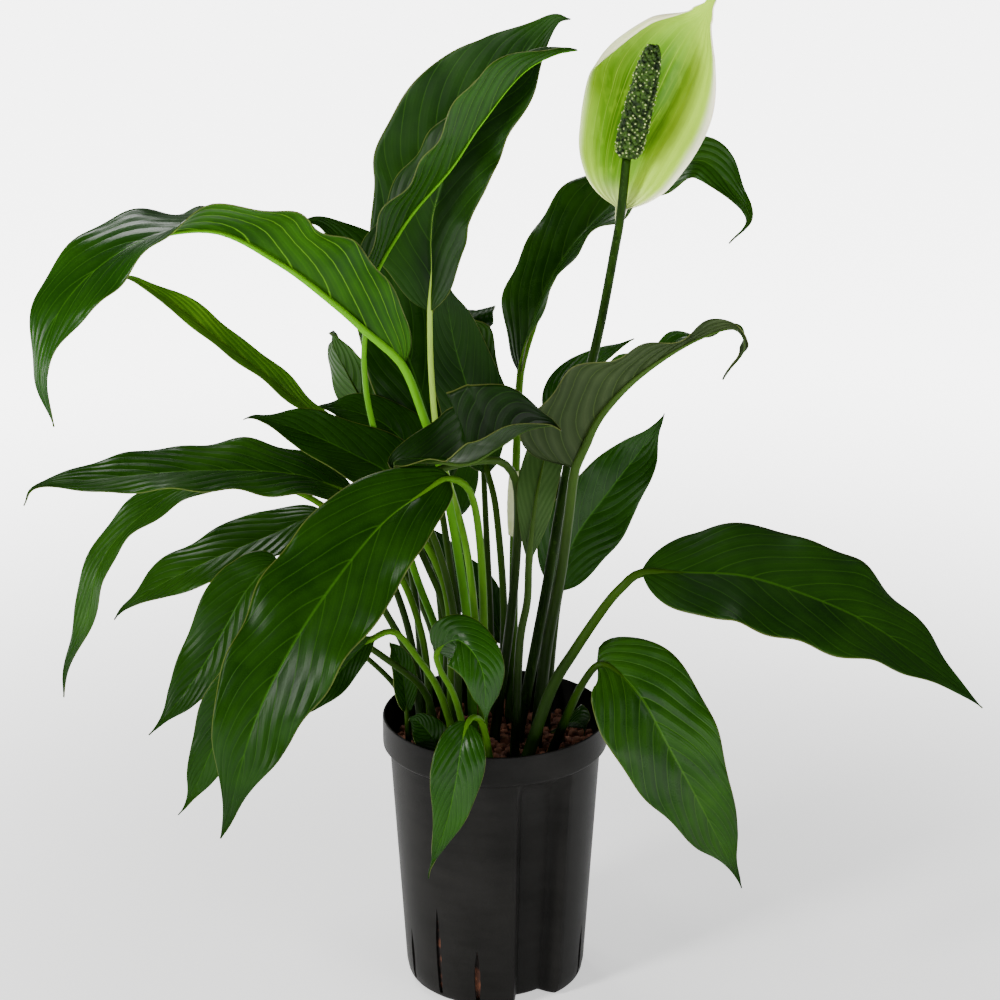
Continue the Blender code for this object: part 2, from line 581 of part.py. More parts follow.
def stalk_radius(z):
    return 3.8 - 1.0 * (z - hole_bottom) / (stalk_points[-1][2] - hole_bottom)


def behind_stalk(z, gap):
    # point just behind the stalk at this height
    centres = stalk_centres()
    for low, high in zip(centres, centres[1:]):
        if low.z <= z <= high.z:
            centre = low.lerp(high, (z - low.z) / (high.z - low.z))
            along = (high - low).normalized()
            back = Vector((0, 1, 0))
            back = (back - along * back.dot(along)).normalized()
            return centre + back * (stalk_radius(z) + gap)
    return centres[-1]


def make_stalk(group):
    centres = stalk_centres()
    frames = tangents(centres)
    frames[0] = Vector((0, 0, 1))
    face = Vector((0, -1, 0))
    rings = []
    for i, centre in enumerate(centres):
        face = (face - frames[i] * face.dot(frames[i])).normalized()
        side = frames[i].cross(face)
        radius = stalk_radius(centre.z)
        rings.append([centre + side * (radius * math.cos(math.radians(162 - 36 * k)))
                      + face * (radius * math.sin(math.radians(162 - 36 * k))) for k in range(10)])
    return loft("flower_stalk", rings, group)


def make_spathe(group):
    spine = [tuple(behind_stalk(508, 0.7)), tuple(behind_stalk(521, 1.1))] + spathe_spine
    centres = even_points(spine, 17)
    frames = tangents(centres)
    facing = [(-0.3, -1.0, 0.0), (-0.4, -0.9, 0.35), (-0.4, -0.8, 0.5)]
    rings = []
    for i, centre in enumerate(centres):
        t = i / (len(centres) - 1)
        face = mix3(facing, t)
        face = (face - frames[i] * face.dot(frames[i])).normalized()
        side = frames[i].cross(face).normalized()
        spread = (t - spathe_tail) / (1 - spathe_tail)
        half = max(44.0 * blade_profile(spread, 0.6, 0.9), 1.5)
        left, right = across(centre, side, face, half, 4, 34, 4)
        ring = [left[k][0] for k in (3, 2, 1, 0)] + [centre.copy()] + [row[0] for row in right]
        ring += [right[k][0] - right[k][1] * 0.8 for k in (3, 2, 1, 0)] + [centre - face * 0.8]
        ring += [row[0] - row[1] * 0.8 for row in left]
        rings.append(ring)
    return loft("spathe", rings, group)


def make_spadix(group, florets):
    axis = Vector((15.2, -4.4, 69.5)).normalized()
    base = Vector(stalk_points[-1]) + axis * 0.65
    tip = base + axis * 71.0
    side = axis.cross(Vector((0, -1, 0))).normalized()
    front = side.cross(axis).normalized()
    length = (tip - base).length
    rows = [(0.0, 3.2), (0.03, 6.0), (0.15, 7.9), (0.45, 7.6), (0.75, 6.7), (0.92, 5.2), (0.985, 2.8)]
    rings = []
    for share, radius in rows:
        centre = base + axis * (length * share)
        rings.append([centre + side * (radius * math.cos(math.radians(162 - 36 * k)))
                      + front * (radius * math.sin(math.radians(162 - 36 * k))) for k in range(10)])
    core = loft("spadix", rings, group)
    turn = 0.0
    count = 76
    for i in range(count):
        share = 0.04 + 0.92 * (i + 0.5) / count
        turn += math.radians(137.5)
        radius = 7.9
        for k in range(len(rows) - 1):
            if rows[k][0] <= share <= rows[k + 1][0]:
                u = (share - rows[k][0]) / (rows[k + 1][0] - rows[k][0])
                radius = rows[k][1] + (rows[k + 1][1] - rows[k][1]) * u
        outward = side * math.cos(turn) + front * math.sin(turn)
        centre = base + axis * (length * share) + outward * (radius - 0.2)
        add_floret("floret_%d" % i, centre, outward, axis, florets)
    join = core.modifiers.new("florets", "BOOLEAN")
    join.operation = "UNION"
    join.operand_type = "COLLECTION"
    join.collection = florets
    join.solver = "EXACT"
    apply_modifiers(core)
    for thing in list(florets.objects):
        bpy.data.objects.remove(thing, do_unlink=True)
    triangulate(core)
    return core


def add_floret(name, centre, outward, axis, group):
    across_dir = outward.cross(axis).normalized()
    up = across_dir.cross(outward).normalized()
    points = []
    for radius, height in ((2.3, -1.2), (1.9, 1.0)):
        for k in range(4):
            angle = math.radians(90 * k)
            points.append(centre + across_dir * (radius * math.cos(angle))
                          + up * (radius * math.sin(angle)) + outward * height)
    points.append(centre + outward * 1.8)
    faces = [tuple(range(4))]
    for k in range(4):
        n = (k + 1) % 4
        faces.append((k, n, 4 + n, 4 + k))
        faces.append((4 + k, 4 + n, 8))
    return mesh_object(name, points, faces, group)


def main():
    clear_scene()
    plant = make_collection("potted_peace_lily")
    cutters = make_collection("cutters")
    florets = make_collection("florets")
    feet = [(stalk_points[0][0], stalk_points[0][1], 3.8)]
    for entry in leaves:
        feet.append((entry[3][0][0], entry[3][0][1], entry[2][0]))

    pot = make_pot(plant, cutters)
    pot.data.materials.clear()
    pot.data.materials.append(make_material("pot_plastic", (0.022, 0.021, 0.020, 1.0), 0.42))
    medium = make_medium(plant, cutters, feet)
    medium.data.materials.clear()
    medium.data.materials.append(make_material("clay_granules", (0.25, 0.10, 0.05, 1.0), 0.95))

    shades = {"top": green_top, "bright": green_bright, "dark": green_dark,
              "under": (0.060, 0.100, 0.035, 1.0)}
    for name, shade, radii, stem, blade, width, facing, fold, curl, shape in leaves:
        rings = leaf_rings(stem, blade, radii, width, facing, fold, curl, shape)
        thing = loft(name, rings, plant)
        triangulate(thing)
        smooth(thing)
        thing.data.materials.append(make_material(name, shades[shade], 0.35))

    stalk = make_stalk(plant)
    triangulate(stalk)
    smooth(stalk)
    stalk.data.materials.append(make_material("flower_stalk", (0.018, 0.050, 0.010, 1.0), 0.45))
    spathe = make_spathe(plant)
    triangulate(spathe)
    smooth(spathe)
    spathe.data.materials.append(make_material("spathe", (0.55, 0.72, 0.20, 1.0), 0.5))
    spadix = make_spadix(plant, florets)
    spadix.data.materials.clear()
    spadix.data.materials.append(make_material("spadix", (0.10, 0.14, 0.06, 1.0), 0.7))
    bpy.data.collections.remove(cutters)
    bpy.data.collections.remove(florets)


main()
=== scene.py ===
import math
import random

import bpy
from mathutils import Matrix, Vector


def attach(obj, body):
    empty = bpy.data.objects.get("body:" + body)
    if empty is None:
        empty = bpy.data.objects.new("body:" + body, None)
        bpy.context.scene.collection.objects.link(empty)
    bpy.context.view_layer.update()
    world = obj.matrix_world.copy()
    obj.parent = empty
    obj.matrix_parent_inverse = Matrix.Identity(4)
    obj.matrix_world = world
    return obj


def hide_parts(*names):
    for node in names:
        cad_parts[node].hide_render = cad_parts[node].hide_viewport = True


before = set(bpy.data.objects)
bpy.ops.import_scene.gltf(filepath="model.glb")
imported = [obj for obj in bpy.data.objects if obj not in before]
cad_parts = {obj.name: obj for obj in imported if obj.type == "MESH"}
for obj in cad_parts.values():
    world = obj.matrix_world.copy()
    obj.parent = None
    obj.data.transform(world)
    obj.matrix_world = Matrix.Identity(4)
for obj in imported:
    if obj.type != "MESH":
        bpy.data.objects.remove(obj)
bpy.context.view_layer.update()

# Potted peace lily. Lengths are in millimetres until a mesh is made.
mm = 0.001

# camera, floor and light
cameraSettings = {"place": (0.0033, -1.562, 0.866), "lookDown": 18.64, "lens": 91.48, "sensor": 36}
lightSettings = {
    # place, aim, size across and high, power, colour
    "keyLight": ((-1.55, -1.25, 1.05), (0, 0, 0.36), (0.40, 0.95), 58, (1.0, 0.99, 0.97)),
    "fillLight": ((1.5, -1.6, 1.3), (0, 0, 0.33), (0.7, 1.0), 10, (0.97, 0.985, 1.0)),
    "topLight": ((-0.6, 0.95, 1.85), (0, 0, 0.4), (0.7, 0.5), 22, (1, 1, 1)),
}
worldSettings = {"colour": (1, 1, 1, 1), "strength": 0.24}
floorSettings = {
    "size": 24, "drop": 0.0005, "roughness": 0.9,
    "dark": (0.86, 0.86, 0.86), "light": (0.88, 0.88, 0.88),
    "near": 0.2, "far": 1.7, "nearGlow": 0.8, "farGlow": 5.6,  # the glow grows between near and far
}


def makeCamera(s):
    bpy.ops.object.camera_add(location=s["place"], rotation=(math.radians(90 - s["lookDown"]), 0, 0))
    camera = bpy.context.active_object
    camera.name = "camera"
    camera.data.lens = s["lens"]
    camera.data.sensor_width = s["sensor"]
    bpy.context.scene.camera = camera


def makeLight(name, place, aim, size, power, colour):
    turn = (Vector(place) - Vector(aim)).to_track_quat("Z", "Y").to_euler()
    bpy.ops.object.light_add(type="AREA", location=place, rotation=turn)
    light = bpy.context.active_object
    light.name = name
    light.data.shape = "RECTANGLE"
    light.data.size, light.data.size_y = size
    light.data.energy = power
    light.data.color = colour


def makeWorld(s):
    world = bpy.context.scene.world or bpy.data.worlds.new("studio")
    bpy.context.scene.world = world
    world.use_nodes = True
    background = world.node_tree.nodes["Background"]
    background.inputs["Color"].default_value = s["colour"]
    background.inputs["Strength"].default_value = s["strength"]


def makeFloor(s):  # pale paper that glows as painted light, more brightly away from the plant
    onlySelect()
    bpy.ops.mesh.primitive_plane_add(size=s["size"], location=(0, 0, -s["drop"]))
    floor = bpy.context.active_object
    floor.name = "floor"
    look = Look("floorPaper")
    colour = look.mix(look.noise(0.8, 1.0), s["dark"], s["light"])
    reach = look.node("ShaderNodeVectorMath", {"operation": "LENGTH"}, {0: look.place()}, "Value")
    # painted light: the floor itself glows, from nearGlow close by up to farGlow far off
    look.feed("Emission Color", reach.step(s["near"], s["far"], s["nearGlow"] / s["farGlow"], 1.0))
    look.feed("Emission Strength", s["farGlow"])
    paint(floor, look.finish(colour, s["roughness"]))
    return floor


# steps that every piece uses
def onlySelect(*things):
    for other in list(bpy.context.selected_objects):
        other.select_set(False)
    for thing in things:
        thing.select_set(True)
    if things:
        bpy.context.view_layer.objects.active = things[0]


def applyModifiers(thing):
    onlySelect(thing)
    for modifier in list(thing.modifiers):
        bpy.ops.object.modifier_apply(modifier=modifier.name)


def settle(*things):  # place, turn and size go into the mesh
    onlySelect(*things)
    bpy.ops.object.transform_apply(location=True, rotation=True, scale=True)


def joinAll(things, name):
    onlySelect(*things)
    if len(things) > 1:
        bpy.ops.object.join()
    whole = bpy.context.active_object
    whole.name = name
    whole.data.name = name
    return whole


def copyOf(model):  # with its own mesh
    copy = model.copy()
    copy.data = model.data.copy()
    bpy.context.collection.objects.link(copy)
    return copy


def removeAll(*things):
    for thing in things:
        bpy.data.objects.remove(thing, do_unlink=True)


def startEdit(thing):
    onlySelect(thing)
    bpy.ops.object.mode_set(mode="EDIT")
    bpy.ops.mesh.select_all(action="SELECT")


def endEdit():  # with every face turned outwards
    bpy.ops.mesh.select_all(action="SELECT")
    bpy.ops.mesh.normals_make_consistent(inside=False)
    bpy.ops.object.mode_set(mode="OBJECT")


def paint(thing, *materials):
    for material in materials:
        thing.data.materials.append(material)


def smoothAll(thing):
    onlySelect(thing)
    bpy.ops.object.shade_smooth()


def addGrid(columns, rows):
    onlySelect()
    bpy.ops.mesh.primitive_grid_add(x_subdivisions=columns, y_subdivisions=rows, size=1, calc_uvs=True)
    return bpy.context.active_object


def halfPoints(grid, rows):
    # each vertex with its row, its shares along and out from the rib, and the side it is on
    for vert in grid.data.vertices:
        u = vert.co.x + 0.5
        row = round((vert.co.y + 0.5) * rows)
        yield vert, row, row / rows, abs(u * 2 - 1), 1 if u > 0.5 else -1


def thicken(sheet, thickness, rim):  # the rim takes its look from this material slot
    thick = sheet.modifiers.new("thickness", "SOLIDIFY")
    thick.thickness = thickness * mm
    thick.offset = -1
    thick.material_offset = 1
    thick.material_offset_rim = rim
    applyModifiers(sheet)
    smoothAll(sheet)


def makeTurned(profile, segments):  # a disc drawn through the rings of the profile
    radius, height = profile[0]
    onlySelect()
    bpy.ops.mesh.primitive_circle_add(vertices=segments, radius=radius * mm,
                                      location=(0, 0, height * mm), fill_type="NGON")
    body = bpy.context.active_object
    settle(body)
    startEdit(body)
    for (lastR, lastZ), (r, z) in zip(profile, profile[1:]):
        bpy.ops.mesh.extrude_region_move(TRANSFORM_OT_translate={"value": (0, 0, (z - lastZ) * mm)})
        scale = r / lastR
        bpy.ops.transform.resize(value=(scale, scale, 1), center_override=(0, 0, z * mm))
    endEdit()
    return body


def clamp(value):  # between 0 and 1
    return min(max(value, 0.0), 1.0)


def ease(t):  # a smooth start and end
    return t * t * (3 - 2 * t)


# materials
class Value:  # a socket that takes part in sums
    def __init__(self, look, socket):
        self.look = look
        self.socket = socket

    def math(self, operation, *others):
        return self.look.maths(operation, self, *others)

    def __add__(self, other):
        return self.math("ADD", other)

    def __sub__(self, other):
        return self.math("SUBTRACT", other)

    def __rsub__(self, other):
        return self.look.maths("SUBTRACT", other, self)

    def __mul__(self, other):
        return self.math("MULTIPLY", other)

    def __pow__(self, other):
        return self.math("POWER", other)

    def __abs__(self):
        return self.math("ABSOLUTE")

    __radd__ = __add__
    __rmul__ = __mul__

    def clamped(self):
        return self.math("MINIMUM", 1.0).math("MAXIMUM", 0.0)

    def step(self, low, high, fromValue=0.0, toValue=1.0):  # smooth step between two values
        return self.look.node("ShaderNodeMapRange", {"interpolation_type": "SMOOTHSTEP"},
                              {"Value": self, "From Min": low, "From Max": high,
                               "To Min": fromValue, "To Max": toValue})


class Look:  # a material; its colours are (red, green, blue)
    def __init__(self, name):
        self.material = bpy.data.materials.new(name)
        self.material.use_nodes = True
        self.tree = self.material.node_tree
        self.shader = self.tree.nodes["Principled BSDF"]

    def fill(self, socket, value):
        if isinstance(value, Value):
            self.tree.links.new(value.socket, socket)
        else:
            socket.default_value = (*value, 1) if socket.type == "RGBA" else value

    def feed(self, name, value):
        self.fill(self.shader.inputs[name], value)

    def node(self, kind, settings, inputs, output=0):
        made = self.tree.nodes.new(kind)
        for key, value in settings.items():
            setattr(made, key, value)
        for key, value in inputs.items():
            self.fill(made.inputs[key], value)
        return Value(self, made.outputs[output])

    def maths(self, operation, *values):
        return self.node("ShaderNodeMath", {"operation": operation}, dict(enumerate(values)))

    def mix(self, factor, first, second):
        return self.node("ShaderNodeMix", {"data_type": "RGBA"}, {0: factor, 6: first, 7: second}, 2)

    def place(self):
        return self.node("ShaderNodeTexCoord", {}, {}, "Object")

    def noise(self, scale, detail=2.0, where=None, roughness=0.5):
        return self.node("ShaderNodeTexNoise", {}, {"Vector": where or self.place(), "Scale": scale,
                                                   "Detail": detail, "Roughness": roughness}, "Fac")

    def streaks(self, stretch, detail=2.0):  # noise on object places times a vector
        return self.noise(1.0, detail, self.node("ShaderNodeVectorMath", {"operation": "MULTIPLY"},
                                                 {0: self.place(), 1: stretch}))

    def ribs(self, x, y):  # noise along a piece's own UV map
        return self.noise(1.0, 2.0, self.node("ShaderNodeCombineXYZ", {}, {"X": x, "Y": y}))

    def uv(self):
        place = self.node("ShaderNodeUVMap", {"uv_map": "UVMap"}, {})
        parts = self.node("ShaderNodeSeparateXYZ", {}, {"Vector": place}, "X")
        return parts, Value(self, parts.socket.node.outputs["Y"])

    def finish(self, colour, roughness, height=None, depth=0.0005, gloss=0.5):
        self.feed("Base Color", colour)
        self.feed("Roughness", roughness)
        self.feed("Specular IOR Level", gloss)
        if height is not None:
            self.feed("Normal", self.node("ShaderNodeBump", {}, {"Height": height, "Distance": depth,
                                                                "Strength": 1.0}, "Normal"))
        return self.material


veinSettings = {"count": 10.0, "fineCount": 50.0, "sweep": 0.36, "curve": 1.25}
marginColour = (0.115, 0.130, 0.030)
sideLooks = {
    # painted light added between the veins (painted shade of the quilting, darker along the veins),
    # tone taken off, how far the midrib shows, and whether veins sink
    "top": (0.3, 0.05, 0.6, 1.0),
    "under": (0.75, 0.3, 0.9, -1.0),
}
bladeLooks = {
    # deep, light and vein colours, roughness and gloss, then how far the veins show in colour and
    # in relief, and the relief of the fine veins
    "topMid": ((0.0040, 0.026, 0.0002), (0.0120, 0.058, 0.0005), (0.030, 0.115, 0.002),
               0.25, 0.10, 0.42, 0.6, 0.07),
    "topDeep": ((0.0027, 0.016, 0.0002), (0.0085, 0.040, 0.0004), (0.022, 0.085, 0.002),
                0.27, 0.05, 0.42, 0.6, 0.07),
    "topMatte": ((0.0030, 0.018, 0.0003), (0.0095, 0.042, 0.0006), (0.026, 0.090, 0.003),
                 0.42, 0.08, 0.45, 0.5, 0.05),
    "topQuilted": ((0.0044, 0.025, 0.0004), (0.0165, 0.064, 0.0014), (0.034, 0.100, 0.006),
                   0.27, 0.10, 0.50, 1.2, 0.16),
    # a darker copy of the top look: painted shade for the shaded cup of leaf_centre
    "topPaintedShade": ((0.0008, 0.0050, 0.0001), (0.0042, 0.0220, 0.0002), (0.014, 0.055, 0.001),
                0.34, 0.04, 0.35, 0.5, 0.07),
    "underMid": ((0.0080, 0.032, 0.0006), (0.0180, 0.062, 0.0018), (0.042, 0.120, 0.006),
                 0.44, 0.08, 0.50, 1.2, 0.08),
    # the arching leaf's underside: its own paler green, brightened as painted light shining through the
    # blade
    "underLitThrough": ((0.0052, 0.029, 0.0002), (0.0150, 0.066, 0.0004), (0.080, 0.220, 0.004),
                    0.42, 0.08, 0.75, 2.4, 0.08),
    "underDark": ((0.0030, 0.012, 0.0003), (0.0080, 0.028, 0.0008), (0.020, 0.060, 0.003),
                  0.40, 0.08, 0.40, 0.8, 0.06),
    "underSmooth": ((0.0220, 0.052, 0.0090), (0.0340, 0.072, 0.0160), (0.036, 0.080, 0.010),
                    0.50, 0.08, 0.05, 0.3, 0.05),
    "underYoung": ((0.0200, 0.080, 0.0004), (0.0800, 0.200, 0.0040), (0.120, 0.280, 0.010),
                   0.34, 0.12, 0.20, 0.6, 0.05),
    "underGrey": ((0.0120, 0.023, 0.0052), (0.0310, 0.047, 0.0160), (0.060, 0.098, 0.020),
                  0.50, 0.08, 0.40, 1.8, 0.08),
    "underLime": ((0.0038, 0.0225, 0.0002), (0.0105, 0.050, 0.0006), (0.041, 0.128, 0.004),
                  0.34, 0.10, 0.50, 1.6, 0.10),
}

stemLooks = {
    # colour low down, colour high up, and between which shares of the length it changes
    # the brightest and the darkest of these are lighter and darker copies of the stem green: partly the
    # stems' own tone, partly painted light and painted shade for stems in light and in shade
    "stemPaintedLit": ((0.020, 0.085, 0.001), (0.070, 0.230, 0.003), 0.02, 0.36),
    "stemPale": ((0.045, 0.140, 0.004), (0.330, 0.520, 0.070), 0.16, 0.34),
    "stemLight": ((0.018, 0.055, 0.001), (0.045, 0.125, 0.003), 0.02, 0.36),
    "stemPaintedShade": ((0.006, 0.018, 0.0010), (0.014, 0.038, 0.001), 0.02, 0.36),
    "stemGrey": ((0.006, 0.017, 0.001), (0.026, 0.056, 0.007), 0.10, 0.36),
}


def makeBladeLook(name, facts, veins):
    deep, light, veinColour, roughness, gloss, veinShow, relief, fineRelief = facts
    quiltPaintedLight, baseTone, ribShow, rise = sideLooks["under" if name.startswith("under") else "top"]
    look = Look(name)
    u, v = look.uv()
    x = abs(u * 2 - 1)
    cloud = look.noise(26.0, 3.0)
    wobble = look.noise(45.0, 1.0)
    along = v - (x ** veins["curve"]) * veins["sweep"] + (wobble - 0.5) * 0.012
    cell = (along * veins["count"]).math("FRACT")
    swell = 1 - abs(cell * 2 - 1)  # 0 on a side vein, 1 halfway between two
    vein = swell.step(0.0, 0.11, 1.0, 0.0)
    fineCell = (along * veins["fineCount"]).math("FRACT")
    fine = (1 - abs(fineCell * 2 - 1)) * cloud.step(0.35, 0.65)
    midrib = x.step(0.008, 0.034, 1.0, 0.0) * v.step(0.55, 1.0, 1.0, 0.35)
    margin = x.step(0.972, 0.995)
    speck = look.noise(900.0, 2.0)
    # lighter halfway between the veins, darker along them: painted light and shade of the quilted
    # surface
    tone = (cloud - 0.4) * 1.5 + swell * quiltPaintedLight - baseTone
    colour = look.mix(tone.clamped(), deep, light)
    colour = look.mix(vein * veinShow + fine * 0.05, colour, veinColour)
    colour = look.mix(midrib * ribShow, colour, veinColour)
    colour = look.mix(margin * 0.45, colour, marginColour)
    height = (swell ** 0.7) * (relief * rise) + fine * (fineRelief * rise) + speck * 0.05 + cloud * 0.5
    height = height - midrib * (0.4 * rise)
    rough = roughness + (cloud - 0.5) * 0.22 + vein * 0.06 + speck * 0.04
    return look.finish(colour, rough, height, 0.0004, gloss)


def makeStemLook(name, low, high, start, end):
    look = Look(name)
    v = look.uv()[1]
    streak = look.streaks((260, 260, 9))
    cloud = look.noise(30.0, 2.0)
    tone = v.step(start, end) + (streak - 0.5) * 0.5 + (cloud - 0.5) * 0.3
    return look.finish(look.mix(tone.clamped(), low, high), 0.42 + (cloud - 0.5) * 0.2,
                       streak * 0.7 + cloud * 0.3, 0.0003, 0.04)


# leaves
leafDefaults = {
    "looks": ("topDeep", "underMid", "stemPaintedShade"),  # above, below and stem
    "fold": (12, 12, 12),  # how far the halves rise, from base to tip, in degrees
    "curl": 0,  # their further rise towards the edges
    "outline": (0.6, 1),  # fullness near the base and near the tip
    "quilt": 0.24, "ripple": 0.022, "scallop": 0.035,  # swell between veins, wavy edge and outline
    "tipHalf": 0,  # least half width close to the tip
}
